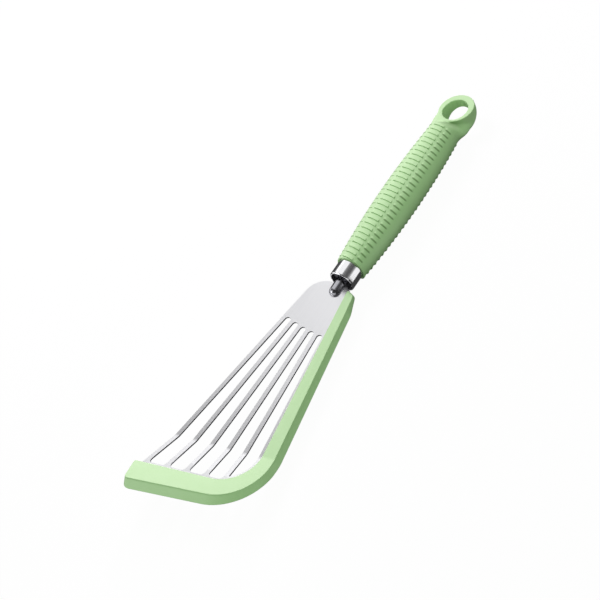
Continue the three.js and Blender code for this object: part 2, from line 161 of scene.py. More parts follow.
class LipSizes(bpy.types.PropertyGroup):
    """Bend that lifts the front lip."""

    bend_y: size("Bend place", -126.4, "Place of the bend on the handle's line")
    slant: turn("Bend slant", 5, "Turn of the bend line from square")
    angle: turn("Bend angle", 12, "How far the lip is lifted")
    radius: size("Bend radius", 10, "Radius of the sheet's top face in the bend")
    steps: count("Bend steps", 12, "Facets across the bend")


class StripSizes(bpy.types.PropertyGroup):
    """Silicone strip on the front and right edges, in the flat."""

    above: size("Above the sheet", 1.6, "Silicone on top of the sheet")
    side_border: size("Side border", 2.85, "Steel left between the last slot and the strip")
    side_border_y: size("Side border place", -110, "Where the side border is measured")
    side_turn: turn("Side turn", 0.72, "How the strip's inner side turns away from the last slot")
    tip_y: size("Tip", -3.7, "Place of the tip beside the ferrule")
    tip_slant: turn("Tip slant", 25, "Slope of the tip's end")
    side_width: size("Side width", 6.06, "Width of the top face beside the ferrule's mouth")
    side_flare: turn("Side flare", 2.15, "How the side's top face widens to the front")
    side_bevel: size("Side bevel", 1.7, "How far the side wall's foot stands out")
    side_bevel_angle: turn("Side bevel angle", 0.35, "How that grows to the front")
    front_y: size("Front", -150.5, "Inner edge of the front on the handle's line")
    front_slant: turn("Front slant", 7.8, "Turn of the front from square")
    front_width: size("Front width", 12.3, "Width of the front's top face on the handle's line")
    front_flare: turn("Front flare", 2.3, "How the front's top face widens to the left")
    front_bevel: size("Front bevel", 4.6, "How far the front wall's foot stands out")
    end_bevel: size("End bevel", 0.8, "How far the two end walls' feet stand out")
    left_x: size("Left end", -49.4, "Place of the left end")
    left_angle: turn("Left end angle", 14, "Slope of the left end")
    inner_corner: size("Inner corner", 21, "Radius of the inner corner")
    outer_corner: size("Outer corner", 28, "Radius of the outer corner's top edge")
    taper_y: size("Taper start", -18, "Where the side wall's foot begins to draw in to the tip")
    taper_angle: turn("Taper", 12, "How the side wall's foot draws in to the tip")
    taper_rounding: size("Taper rounding", 12, "Radius of the bend where the taper starts")
    tip_inner: size("Tip inner corner", 0.9, "Radius of the tip's inner corner")
    tip_outer: size("Tip outer corner", 3.6, "Radius of the tip's outer corner at the top")
    tip_foot: size("Tip foot corner", 4.0, "Radius of the tip's outer corner at the foot")
    left_corner: size("Left corner", 1.2, "Radius of the left end's rear corner")
    left_front: size("Left front corner", 2.5, "Radius of the left end's front corner at the top")
    left_foot: size("Left foot corner", 6, "Radius of the left end's front corner at the foot")
    edge_rounding: size("Edge rounding", 0.45, "Rounding of the moulded edges")
    side_skin: size("Side skin", 2.2, "Silicone outside the sheet's right edge")
    front_skin: size("Front skin", 5.0, "Silicone outside the sheet's front edge")


class FerruleSizes(bpy.types.PropertyGroup):
    """Turned steel pieces."""

    wall: size("Wall", 1.0, "Wall of the ferrule")
    chamfer: size("Chamfer", 0.45, "Chamfer of the ferrule's mouth")
    edge_rounding: size("Edge rounding", 0.5, "Rounding between the chamfer and the ferrule's side")
    mouth_rounding: size("Mouth rounding", 0.12, "Rounding of the mouth's edges")
    weld_gap: size("Weld seam", 0.2, "Seam between the rod's flat and the sheet")
    sides: count("Sides", 96, "Facets round the turned pieces")


class GripSizes(bpy.types.PropertyGroup):
    """Soft grip: barrel, neck and hang loop."""

    middle_y: size("Middle", 72, "Place of the barrel's fullest section")
    half_reach: size("Half reach", 61, "From the middle to the end sections")
    middle_width: size("Middle width", 27.0, "Width at the middle")
    end_width: size("End width", 19.4, "Width at the ends")
    middle_height: size("Middle height", 21.8, "Height at the middle")
    end_height: size("End height", 19.1, "Height at the ends")
    rim_rounding: size("Rim rounding", 0.9, "Rounding of the rim round the ferrule")
    bore_gap: size("Bore clearance", 0.15, "Clearance round the ferrule and the core")
    bore_end: size("Bore end", 112.3, "End of the bore that takes the core")
    neck_y: size("Neck start", 124, "Where the neck begins to widen")
    flare_end: size("Flare end", 134.5, "Where the neck has reached the loop's width")
    scoop_start: size("Scoop start", 125.5, "Where the barrel's end begins to drop")
    scoop_end: size("Scoop end", 133.5, "Where the scooped neck meets the loop")
    neck_squareness: number("Neck squareness", 5.0, "2 is an oval, and more fills out the corners")
    flank_squareness: number("Flank squareness", 1.6, "The same for the neck's right flank")
    flank_delay: size("Flank delay", 5.5, "How much later the neck widens on its right flank")
    flank_start: size("Flank start", 124.5, "Where the neck's right flank begins to fall away")
    flank_end: size("Flank end", 132, "Where the neck's right flank has fallen away")
    flank_drop: size("Flank drop", 4.5, "How far the right flank's widest line lies below the axis")
    ridge: size("Ridge", 3, "Half width of the rounded ridge between the neck's flanks")
    loop_y: size("Loop centre", 145, "Centre of the loop's outline")
    loop_half_width: size("Loop half width", 12.3, "Half the loop's width")
    loop_half_length: size("Loop half length", 11.8, "Half the loop's length")
    loop_face: size("Loop face", 4.2, "Height of the loop's flat face")
    loop_step: size("Loop step", 0.8, "How far the loop's face stands above the neck")
    loop_rounding: size("Loop rounding", 0.4, "Rounding of the loop's edges")
    hole_y: size("Hole centre", 143.6, "Centre of the hang hole")
    hole_radius: size("Hole radius", 8.7, "Radius of the hang hole")
    loop_end: size("Loop end thickness", 4.2, "Thickness of the loop at its far end")
    underside_slope: turn("Underside slope", 25, "How the underside rises to the loop's end")
    crease_reach: size("Crease reach", 7, "How far from the loop's wall the crease is shaded")
    crease_start: size("Crease start", 3.5, "Where the crease begins, to the left of the axis")
    neck_fillet: size("Neck fillet", 0.8, "Fillet where the neck meets the loop")
    belly_fillet: size("Belly fillet", 3.0, "Rounding where the underside's slope begins")
    cell: size("Mesh cell", 0.5, "Size of the grip's mesh faces")


class RibSizes(bpy.types.PropertyGroup):
    """Rows of wedge-shaped ribs on the grip."""

    rows: count("Rows", 30, "Rows of ribs along the grip")
    pitch: size("Pitch", 3.864, "From one row to the next")
    first_y: size("First row", 12.2, "Proud edge of the first middle rib")
    height: size("Height", 0.62, "How far a rib's proud edge stands out")
    side_height: size("Side height", 0.42, "How far a right side rib stands out at its inner end")
    left_height: size("Left height", 0.3, "How far a left side rib stands out at its inner end")
    ramp: size("Ramp", 0.3, "Width of the slope in front of a rib's proud edge")
    side_ramp: size("Side ramp", 1.1, "Width of the slope in front of a right side rib's proud edge")
    end_ramp: turn("End ramp", 1.6, "Width of the slope at a rib's end")
    side_rise: turn("Side rise", 4, "Width of the slope at a side rib's inner end")
    side_fade: turn("Side fade", 8, "Width of the slope at a side rib's outer end")
    foot: size("Foot", -0.05, "Level of a rib's low edges, just under the grip's surface")
    root: size("Root", 0.5, "How deep a rib is rooted in the grip")
    crest: size("Crest", 0.22, "Rounding of the proud edge")
    middle_edge: turn("Middle edge", 67, "Where the middle ribs end, from the right side")
    left_edge: turn("Left edge", 73.5, "Where the middle ribs end, from the left side")
    side_start: turn("Side start", 60, "Where the right side ribs begin, from the right side")
    side_end: turn("Side end", 31, "Where the right side ribs fade out, from the right side")
    left_start: turn("Left start", 67, "Where the left side ribs begin, from the left side")
    left_end: turn("Left end", 40, "Where the left side ribs fade out, from the left side")
    under_edge: turn("Under edge", 29, "Where the ribs below begin, from the side")
    lean: turn("Lean", 8.8, "How the ribs lean back from square to the left")
    spread: turn("Spread", 7, "How much further down the ribs reach at the grip's slim ends")


class Finishes(bpy.types.PropertyGroup):
    """Colours of the materials, and of the painted shade in grooves, creases and on punched edges."""

    silicone: colour("Silicone", "#CBEDB9", "Pale green silicone")
    silicone_deep: colour("Silicone, deep", "#C4E8B1", "Slightly deeper patches in the silicone")
    grip: colour("Grip", "#CDF0BA", "Pale green soft rubber")
    grip_deep: colour("Grip, deep", "#C5EAB1", "Slightly deeper patches in the rubber")
    # Painted shade before the ribs' proud edges, at the middle ribs' first ends and in the neck's crease.
    painted_groove_shade: colour("Groove", "#89AD76", "Deeper green in the grooves before the ribs")
    sheet: colour("Sheet", "#F2F2F4", "Brushed stainless sheet")
    sheet_deep: colour("Sheet, deep", "#EAEAED", "Brush lines in the sheet")
    # Painted shade on the sheet's punched edges and all over the disc in the ferrule's mouth.
    cut_edge: colour("Cut edge", "#58585D", "Dull punched edges of the sheet")
    polished: colour("Polished steel", "#FAFAFB", "Polished stainless steel")
    polished_deep: colour("Polished steel, deep", "#EAEAED", "Fine turning marks")
    satin: colour("Satin steel", "#BCBCC1", "Satin stainless rod")
    satin_deep: colour("Satin steel, deep", "#AFAFB5", "Fine turning marks in the rod")
    nylon: colour("Nylon", "#8B8F88", "Moulded nylon core")
    nylon_deep: colour("Nylon, deep", "#7C807A", "Flow marks in the nylon")


class StudioSettings(bpy.types.PropertyGroup):
    """Camera, lamps and floor."""

    eye: FloatVectorProperty(
        name="Eye", description="Camera, from the ferrule's mouth", subtype="XYZ", unit="LENGTH",
        default=(538.22 * MM, -370.18 * MM, 637.04 * MM),
    )
    right: view_axis("Right", (0.7610, 0.5294, -0.3750), "The picture's right")
    up: view_axis("Up", (-0.2249, 0.7574, 0.6129), "The picture's up")
    lens: FloatProperty(
        name="Lens", description="Focal length in millimetres", default=90, subtype="DISTANCE_CAMERA",
    )
    ambient: number("Ambient", 0.52, "Soft light from all round")
    ambient_colour: colour("Ambient colour", "#E9FFE2", "The room's slightly green light")
    key_power: lamp_power("Key", 3.75, "Power of the large lamp")
    key_colour: colour("Key colour", "#F7DDFF", "Slightly pink light of both lamps")
    lip_power: lamp_power("Lip lamp", 6.6, "Power of the narrow lamp on the lip")
    lip_beam: turn("Lip beam", 24, "Width of that lamp's beam")
    floor_bounce: number("Floor bounce", 0.18, "How much the floor lights the object")
    shadow: number("Shadow", 0.03, "How much of the soft shadow shows on the floor")


class TurnerSettings(bpy.types.PropertyGroup):
    """All settings of the turner."""

    blade: PointerProperty(type=BladeSizes)
    lip: PointerProperty(type=LipSizes)
    strip: PointerProperty(type=StripSizes)
    ferrule: PointerProperty(type=FerruleSizes)
    grip: PointerProperty(type=GripSizes)
    ribs: PointerProperty(type=RibSizes)
    finishes: PointerProperty(type=Finishes)
    studio: PointerProperty(type=StudioSettings)


SETTINGS = {
    "blade": BladeSizes,
    "lip": LipSizes,
    "strip": StripSizes,
    "ferrule": FerruleSizes,
    "grip": GripSizes,
    "ribs": RibSizes,
    "finishes": Finishes,
    "studio": StudioSettings,
}


# Plan drawing

class PlanLine(NamedTuple):
    """A straight line on the plan."""

    point: Vector
    along: Vector
    across: Vector
    heading: float


def plan_line(x, y, heading):
    """A line through a point. Heading 0 runs to the front (-Y), a quarter turn to the right (+X)."""
    along = Vector((sin(heading), -cos(heading)))
    return PlanLine(Vector((x, y)), along, Vector((-along.y, along.x)), heading)


def beside(base, distance):
    """The same line moved sideways: a fore-and-aft line moves to +X, a cross line to +Y."""
    moved = base.point + base.across * distance
    return plan_line(moved.x, moved.y, base.heading)


def meet(first, second):
    """The point where two lines cross."""
    gap = second.point - first.point
    share = gap.cross(second.along) / first.along.cross(second.along)
    return first.point + first.along * share


def rounded_outline(corners):
    """A closed outline through corners, each given as a point, a radius and the steps of its arc."""
    points = []
    for place, (corner, radius, steps) in enumerate(corners):
        before = (corners[place - 1][0] - corner).normalized()
        after = (corners[(place + 1) % len(corners)][0] - corner).normalized()
        half_angle = before.angle(after) / 2
        reach = radius / tan(half_angle)
        centre = corner + (before + after).normalized() * radius / sin(half_angle)
        start = corner + before * reach - centre
        finish = corner + after * reach - centre
        sweep = atan2(start.cross(finish), start.dot(finish))
        for step in range(steps + 1):
            points.append(centre + Matrix.Rotation(sweep * step / steps, 2) @ start)
    return points


def between(first, second, share):
    """The value at a share of the way from one value to another."""
    return first + (second - first) * share


# The most of a slot's top end that each of its corners may round off.
SLOT_ROUNDING_SHARE = 0.48

# The strip's top edge has this share of the taper that its foot has.
TOP_TAPER_SHARE = 0.1


class BladePlan:
    """The lines that the blade, its slots and the strip share."""

    def __init__(self, blade, strip):
        self.blade = blade
        self.strip = strip
        last_tine = self.tine(blade.tine_count - 1)
        self.left = beside(self.tine(0), -blade.tine_width / 2)
        self.top = plan_line(0, -blade.ferrule_gap, pi / 2)
        border = beside(last_tine, strip.side_border - blade.tine_width / 2)
        border_point = meet(border, plan_line(0, strip.side_border_y, pi / 2))
        self.inner_side = plan_line(border_point.x, border_point.y, border.heading + strip.side_turn)
        self.inner_front = plan_line(0, strip.front_y, pi / 2 + strip.front_slant)
        self.outer_start = meet(self.inner_side, plan_line(0, 0, pi / 2)).x + strip.side_width
        self.outer_side = plan_line(self.outer_start, 0, last_tine.heading + strip.side_flare)
        front_heading = pi / 2 + strip.front_slant + strip.front_flare
        self.outer_front = plan_line(0, strip.front_y - strip.front_width, front_heading)
        inner_left = meet(self.inner_front, plan_line(strip.left_x, 0, 0))
        self.left_end = plan_line(inner_left.x, inner_left.y, strip.left_angle)
        inner_tip = meet(self.inner_side, plan_line(0, strip.tip_y, pi / 2))
        self.tip_end = plan_line(inner_tip.x, inner_tip.y, pi / 2 - strip.tip_slant)

    def tine(self, index):
        """Middle line of one tine. The tines come a little closer together to the right."""
        blade = self.blade
        heading = blade.first_angle + index * blade.angle_step - blade.step_loss * index * (index - 1) / 2
        return plan_line(blade.fan_x, blade.fan_y, heading)

    def sheet(self):
        """The sheet's edge all round. Its front and right edges lie inside the strip."""
        blade, strip = self.blade, self.strip
        right = beside(self.outer_side, -strip.side_skin)
        front = beside(self.outer_front, strip.front_skin)
        return rounded_outline([
            (meet(self.left, self.top), blade.left_shoulder, 24),
            (meet(self.left, front), blade.front_corner, 6),
            (meet(right, front), strip.outer_corner - strip.side_skin, 16),
            (meet(right, self.top), blade.right_shoulder, 16),
        ])

    def slot_foot(self, left):
        """Line of a slot's foot: beside the strip's front, or touching an arc inside the strip's corner."""
        blade, strip = self.blade, self.strip
        corner_side = beside(self.inner_side, -strip.inner_corner)
        centre = meet(corner_side, beside(self.inner_front, strip.inner_corner))
        to_centre = centre - left.point
        offset = left.across.dot(to_centre)
        if offset > 0:
            return beside(self.inner_front, blade.slot_border)
        half_chord = sqrt((strip.inner_corner - strip.side_border) ** 2 - offset ** 2)
        touch = left.point + left.along * (left.along.dot(to_centre) + half_chord)
        return plan_line(touch.x, touch.y, atan2(centre.y - touch.y, centre.x - touch.x))

    def slot(self, index):
        """One slot between a tine and the next. The last one sweeps round inside the strip's corner."""
        blade = self.blade
        left = beside(self.tine(index), blade.tine_width / 2)
        right = beside(self.tine(index + 1), -blade.tine_width / 2)
        heading = (self.tine(index).heading + self.tine(index + 1).heading) / 2
        middle = plan_line(blade.fan_x, blade.fan_y, heading)
        top_point = middle.point + middle.along * (blade.slot_top + index * blade.slot_top_step)
        top = plan_line(top_point.x, top_point.y, heading + pi / 2)
        top_width = (meet(left, top) - meet(right, top)).length
        top_radius = min(blade.slot_rounding, SLOT_ROUNDING_SHARE * top_width)
        foot = self.slot_foot(left)
        toe_radius, sweep_radius, sweep_steps = blade.slot_rounding, blade.slot_rounding, 8
        if index == blade.tine_count - 2:
            toe_radius, sweep_radius, sweep_steps = blade.toe_rounding, blade.sweep_radius, 20
        return rounded_outline([
            (meet(left, top), top_radius, 10),
            (meet(left, foot), toe_radius, 8),
            (meet(right, foot), sweep_radius, sweep_steps),
            (meet(right, top), top_radius, 10),
        ])

    def strip_outline(self, spread, draw):
        """The strip's outline at one level. Its outer edge moves out with the bevel's spread, and all
        edges draw in where they are rounded."""
        strip = self.strip
        side_heading = self.outer_side.heading + strip.side_bevel_angle * spread
        side = beside(plan_line(self.outer_start + strip.side_bevel * spread, 0, side_heading), -draw)
        front = beside(self.outer_front, draw - strip.front_bevel * spread)
        left = beside(self.left_end, draw - strip.end_bevel * spread)
        tip = beside(self.tip_end, strip.end_bevel * spread - draw)
        inner_side = beside(self.inner_side, draw)
        inner_front = beside(self.inner_front, -draw)
        left_radius = between(strip.left_front, strip.left_foot, spread)
        tip_radius = between(strip.tip_outer, strip.tip_foot, spread)
        taper_start = meet(side, plan_line(0, strip.taper_y, pi / 2))
        taper_angle = strip.taper_angle * between(TOP_TAPER_SHARE, 1, spread)
        taper = plan_line(taper_start.x, taper_start.y, side.heading + taper_angle)
        return rounded_outline([
            (meet(inner_side, tip), strip.tip_inner, 6),
            (meet(inner_side, inner_front), strip.inner_corner + draw, 28),
            (meet(left, inner_front), strip.left_corner, 8),
            (meet(left, front), left_radius, 12),
            (meet(side, front), strip.outer_corner + strip.front_bevel * spread - draw, 40),
            (meet(side, taper), strip.taper_rounding, 8),
            (meet(taper, tip), tip_radius, 14),
        ])


# Meshes

def shown(name, data):
    """A new object in the scene."""
    holder = bpy.data.objects.new(name, data)
    bpy.context.scene.collection.objects.link(holder)
    return holder


def plain_mesh(holder):
    """The plain mesh of an object with its modifiers. The object itself is removed."""
    graph = bpy.context.evaluated_depsgraph_get()
    result = bpy.data.meshes.new_from_object(holder.evaluated_get(graph), depsgraph=graph)
    holder.modifiers.clear()
    bpy.data.objects.remove(holder)
    return result


def tidy_mesh(mesh, merge_distance=SAME_POINT):
    """Merge a mesh's doubles and turn its faces out."""
    shell = bmesh.new()
    shell.from_mesh(mesh)
    bmesh.ops.remove_doubles(shell, verts=shell.verts, dist=merge_distance)
    bmesh.ops.recalc_face_normals(shell, faces=shell.faces)
    shell.to_mesh(mesh)
    shell.free()


def smooth(mesh, sharp_angle):
    """Smooth shading, but for edges that are sharper than an angle."""
    mesh.shade_smooth()
    mesh.set_sharp_from_angle(angle=sharp_angle)


def cut_across(shell, point, normal):
    """Cut a mesh where a plane crosses it."""
    bmesh.ops.bisect_plane(
        shell,
        geom=shell.verts[:] + shell.edges[:] + shell.faces[:],
        dist=SAME_POINT,
        plane_co=point,
        plane_no=normal,
    )


def loft_faces(rings, sides):
    """Faces of a closed loft through rings of points: its two ends and its sides."""
    faces = [tuple(range(sides)), tuple(range((rings - 1) * sides, rings * sides))]
    for ring in range(rings - 1):
        for side in range(sides):
            here, after = ring * sides + side, ring * sides + (side + 1) % sides
            faces.append((here, after, after + sides, here + sides))
    return faces


def turned(name, profile, sides):
    """A solid turned about the handle's axis, from a closed profile of radius and place."""
    shell = bmesh.new()
    corners = [shell.verts.new((radius, y, 0)) for radius, y in profile]
    edges = [shell.edges.new((corners[place - 1], corner)) for place, corner in enumerate(corners)]
    bmesh.ops.spin(
        shell, geom=corners + edges, cent=(0, 0, 0), axis=(0, 1, 0),
        angle=2 * pi, steps=sides, use_duplicate=False,
    )
    mesh = bpy.data.meshes.new(name)
    shell.to_mesh(mesh)
    shell.free()
    tidy_mesh(mesh)
    return mesh


def finished(mesh, material, sharp_angle):
    """A mesh moved from the handle's axis to its place in the part, smooth and in its material."""
    mesh.transform(Matrix.Translation(AXIS))
    mesh.materials.append(material)
    smooth(mesh, sharp_angle)
    return mesh


def evaluated(name, mesh, tree, **inputs):
    """The plain mesh that a node tree makes of a mesh. The tree's inputs are given by name."""
    holder = shown(name, mesh)
    modifier = holder.modifiers.new(name, "NODES")
    modifier.node_group = tree
    for socket in tree.interface.items_tree:
        if socket.in_out == "INPUT" and socket.name in inputs:
            modifier[socket.identifier] = inputs[socket.name]
    result = plain_mesh(holder)
    result.name = name
    return result


def add_piece(name, mesh, slot, *nodes):
    """Show a finished mesh as a piece that stands for CAD nodes."""
    piece = shown(name, mesh)
    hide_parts(*nodes)
    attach(piece, "root")
    return piece


# Node trees

def add_node(tree, kind, settings=(), links=()):
    """Add a node with its settings, and link or set its inputs by name or number."""
    node = tree.nodes.new(kind)
    for key, value in dict(settings).items():
        setattr(node, key, value)
    for key, value in dict(links).items():
        if isinstance(value, bpy.types.NodeSocket):
            tree.links.new(value, node.inputs[key])
        else:
            node.inputs[key].default_value = value
    return node


def new_tree(name, sockets):
    """An empty geometry node tree with named inputs, and its input node."""
    tree = bpy.data.node_groups.new(name, "GeometryNodeTree")
    tree.interface.new_socket("Geometry", in_out="OUTPUT", socket_type="NodeSocketGeometry")
    for socket, kind in {"Geometry": "Geometry", **sockets, "Material": "Material"}.items():
        tree.interface.new_socket(socket, in_out="INPUT", socket_type=f"NodeSocket{kind}")
    return tree, tree.nodes.new("NodeGroupInput").outputs


def end_tree(tree, geometry, material):
    """Close a tree with plain geometry in its material."""
    plain = add_node(tree, "GeometryNodeRealizeInstances", links={"Geometry": geometry})
    dressed = add_node(tree, "GeometryNodeSetMaterial", links={
        "Geometry": plain.outputs[0], "Material": material,
    })
    add_node(tree, "NodeGroupOutput", links={"Geometry": dressed.outputs[0]})
    return tree


# How the lip rolls up, in steps of arithmetic: the result's name, the operation and its terms. A point's
# way past the bend line is made up of a flat part behind the bend, an arc and a straight part up the lip.
LIP_STEPS = (
    ("slant_sine", "SINE", "Slant"),
    ("across_x", "MULTIPLY", "slant_sine", -1.0),
    ("across_y", "COSINE", "Slant"),
    ("ahead", "SUBTRACT", "Bend Y", "y"),
    ("past_y", "MULTIPLY", "ahead", "across_y"),
    ("past_x", "MULTIPLY", "x", "across_x"),
    ("past", "SUBTRACT", "past_y", "past_x"),
    ("half_angle", "MULTIPLY", "Angle", 0.5),
    ("half_arc", "MULTIPLY", "Radius", "half_angle"),
    ("arc_share", "DIVIDE", "past", "Radius"),
    ("free_turn", "ADD", "arc_share", "half_angle"),
    ("upward_turn", "MAXIMUM", "free_turn", 0.0),
    ("turn", "MINIMUM", "upward_turn", "Angle"),
    ("from_arc_start", "ADD", "past", "half_arc"),
    ("behind", "MINIMUM", "from_arc_start", 0.0),
    ("from_arc_end", "SUBTRACT", "past", "half_arc"),
    ("straight", "MAXIMUM", "from_arc_end", 0.0),
    ("above", "SUBTRACT", "z", "Top"),
    ("own_radius", "SUBTRACT", "Radius", "above"),
    ("sine", "SINE", "turn"),
    ("cosine", "COSINE", "turn"),
    ("straight_reach", "MULTIPLY_ADD", "straight", "cosine", "behind"),
    ("reach", "MULTIPLY_ADD", "own_radius", "sine", "straight_reach"),
    ("bent", "SUBTRACT", "reach", "half_arc"),
    ("below_centre", "MULTIPLY", "own_radius", "cosine"),
    ("arc_climb", "SUBTRACT", "Radius", "below_centre"),
    ("climb", "MULTIPLY_ADD", "straight", "sine", "arc_climb"),
    ("move", "SUBTRACT", "past", "bent"),
    ("new_x", "MULTIPLY_ADD", "across_x", "move", "x"),
    ("new_y", "MULTIPLY_ADD", "across_y", "move", "y"),
    ("new_z", "ADD", "Top", "climb"),
)


def lip_tree():
    """Rolls the front of a flat piece up round the bend. The sheet's top face keeps the bend's radius."""
    sockets = {name: "Float" for name in ("Bend Y", "Slant", "Angle", "Radius", "Top")}
    tree, given = new_tree("lip_bend", sockets)
    position = add_node(tree, "GeometryNodeInputPosition").outputs[0]
    x, y, z = add_node(tree, "ShaderNodeSeparateXYZ", links={0: position}).outputs
    values = {**{name: given[name] for name in sockets}, "x": x, "y": y, "z": z}
    for name, operation, *terms in LIP_STEPS:
        links = {place: values.get(term, term) for place, term in enumerate(terms)}
        values[name] = add_node(tree, "ShaderNodeMath", {"operation": operation}, links).outputs[0]
    place = add_node(tree, "ShaderNodeCombineXYZ", links={
        0: values["new_x"], 1: values["new_y"], 2: values["new_z"],
    })
    moved = add_node(tree, "GeometryNodeSetPosition", links={
        "Geometry": given["Geometry"], "Position": place.outputs[0],
    })
    return end_tree(tree, moved.outputs[0], given["Material"])


# Where a point of a flat rib lies on the grip's barrel, in the same kind of steps. The barrel is an oval
# that slims to its ends, and the ribs reach further down its flanks there.
RIB_STEPS = (
    ("from_middle", "SUBTRACT", "y", "Middle"),
    ("share", "DIVIDE", "from_middle", "Half reach"),
    ("slimming", "MULTIPLY", "share", "share"),
    ("bulge", "SUBTRACT", 1.0, "slimming"),
    ("double_angle", "MULTIPLY", "flat_angle", 2.0),
    ("sideways", "SINE", "double_angle"),
    ("most_lowering", "MULTIPLY", "sideways", "Spread"),
    ("lowering", "MULTIPLY", "most_lowering", "slimming"),
    ("angle", "SUBTRACT", "flat_angle", "lowering"),
    ("more_width", "SUBTRACT", "Middle width", "End width"),
    ("width", "MULTIPLY_ADD", "more_width", "bulge", "End width"),
    ("half_width", "MULTIPLY", "width", 0.5),
    ("more_height", "SUBTRACT", "Middle height", "End height"),
    ("height", "MULTIPLY_ADD", "more_height", "bulge", "End height"),
    ("half_height", "MULTIPLY", "height", 0.5),
    ("cosine", "COSINE", "angle"),
    ("sine", "SINE", "angle"),
    ("x", "MULTIPLY", "half_width", "cosine"),
    ("z", "MULTIPLY", "half_height", "sine"),
)


def rib_tree():
    """Repeats one row of flat ribs along the grip, and wraps the rows onto the grip's surface.
    In the flat row X is the angle round the grip, Y runs along it and Z is the rise above its surface."""
    sockets = {name: "Float" for name in (
        "Pitch", "Spread", "Middle", "Half reach",
        "Middle width", "End width", "Middle height", "End height",
    )}
    tree, given = new_tree("rib_rows", {"Rows": "Int", **sockets, "Grip": "Object"})
    offset = add_node(tree, "ShaderNodeCombineXYZ", links={1: given["Pitch"]})
    line = add_node(tree, "GeometryNodeMeshLine", links={
        "Count": given["Rows"], "Offset": offset.outputs[0],
    })
    rows = add_node(tree, "GeometryNodeInstanceOnPoints", links={
        "Points": line.outputs[0], "Instance": given["Geometry"],
    })
    flat = add_node(tree, "GeometryNodeRealizeInstances", links={"Geometry": rows.outputs[0]})
    position = add_node(tree, "GeometryNodeInputPosition").outputs[0]
    flat_angle, y, rise = add_node(tree, "ShaderNodeSeparateXYZ", links={0: position}).outputs
    values = {**{name: given[name] for name in sockets}, "flat_angle": flat_angle, "y": y}
    for name, operation, *terms in RIB_STEPS:
        links = {place: values.get(term, term) for place, term in enumerate(terms)}
        values[name] = add_node(tree, "ShaderNodeMath", {"operation": operation}, links).outputs[0]
    oval = add_node(tree, "ShaderNodeCombineXYZ", links={0: values["x"], 1: y, 2: values["z"]}).outputs[0]
    grip = add_node(tree, "GeometryNodeObjectInfo", {"transform_space": "ORIGINAL"}, {
        "Object": given["Grip"],
    })
    surface = grip.outputs["Geometry"]
    nearest = add_node(tree, "GeometryNodeProximity", {"target_element": "FACES"}, {
        "Geometry": surface, "Sample Position": oval,
    })
    normal = add_node(tree, "GeometryNodeInputNormal").outputs[0]
    facing = add_node(tree, "GeometryNodeSampleNearestSurface", {"data_type": "FLOAT_VECTOR"}, {
        "Mesh": surface, "Value": normal, "Sample Position": oval,
    })
    lift = add_node(tree, "ShaderNodeVectorMath", {"operation": "SCALE"}, {
        0: facing.outputs[0], "Scale": rise,
    })
    place = add_node(tree, "ShaderNodeVectorMath", {"operation": "ADD"}, {
        0: nearest.outputs["Position"], 1: lift.outputs[0],
    })
    wrapped = add_node(tree, "GeometryNodeSetPosition", links={
        "Geometry": flat.outputs[0], "Position": place.outputs[0],
    })
    return end_tree(tree, wrapped.outputs[0], given["Material"])


# Materials

def new_material(name):
    """A material, its tree, its shader and the coordinates that its patterns follow."""
    material = bpy.data.materials.new(name)
    material.use_nodes = True
    tree = material.node_tree
    where = add_node(tree, "ShaderNodeTexCoord").outputs["Object"]
    return material, tree, tree.nodes["Principled BSDF"], where


class Relief(NamedTuple):
    """A fine pattern in a surface: how far it varies the roughness either way, how strongly its bumps show,
    and their depth."""

    gloss_spread: float
    strength: float
    depth: float


# Grit of the blasted mould, and fine lines in the steel.
GRIT = Relief(gloss_spread=0.05, strength=0.25, depth=0.02 * MM)
LINES = Relief(gloss_spread=0.03, strength=0.2, depth=0.002 * MM)

# Typical refractive index of silicone and soft rubber.
RUBBER_IOR = 1.41


def pattern(tree, shader, broad, fine, tints, roughness, relief, shade_attribute, shade_colour):
    """Two patterns on a shader: a broad one that mixes its tints, and a fine one in its gloss and relief.
    Places given by an attribute take a colour of painted shade."""
    tint = add_node(tree, "ShaderNodeMix", {"data_type": "RGBA"}, {
        "Factor": broad, "A": (*tints[0], 1), "B": (*tints[1], 1),
    })
    shade_amount = add_node(tree, "ShaderNodeAttribute", {"attribute_name": shade_attribute})
    toned = add_node(tree, "ShaderNodeMix", {"data_type": "RGBA"}, {
        "Factor": shade_amount.outputs["Fac"], "A": tint.outputs["Result"], "B": (*shade_colour, 1),
    })
    gloss = add_node(tree, "ShaderNodeMapRange", links={
        "Value": fine, "To Min": roughness - relief.gloss_spread, "To Max": roughness + relief.gloss_spread,
    })
    bump = add_node(tree, "ShaderNodeBump", links={
        "Height": fine, "Strength": relief.strength, "Distance": relief.depth,
    })
    tree.links.new(toned.outputs["Result"], shader.inputs["Base Color"])
    tree.links.new(gloss.outputs["Result"], shader.inputs["Roughness"])
    tree.links.new(bump.outputs["Normal"], shader.inputs["Normal"])


def moulded_rubber(name, base, deep, patch, grit, roughness):
    """Pale green silicone or soft rubber, moulded in a finely blasted steel mould: satin, with a broad soft
    sheen, faint patches in the colour and a fine matt grit that breaks up the highlights. Grooves and
    creases get a painted shade of deeper green."""
    material, tree, shader, where = new_material(name)
    patches = add_node(tree, "ShaderNodeTexNoise", links={
        "Vector": where, "Scale": 1 / patch, "Detail": 3.0,
    }).outputs["Fac"]
    grains = add_node(tree, "ShaderNodeTexNoise", links={
        "Vector": where, "Scale": 1 / grit, "Detail": 2.0,
    }).outputs["Fac"]
    painted_groove_shade = finishes().painted_groove_shade
    pattern(tree, shader, patches, grains, (base, deep), roughness, GRIT, "groove_shade", painted_groove_shade)
    shader.inputs["IOR"].default_value = RUBBER_IOR
    return material


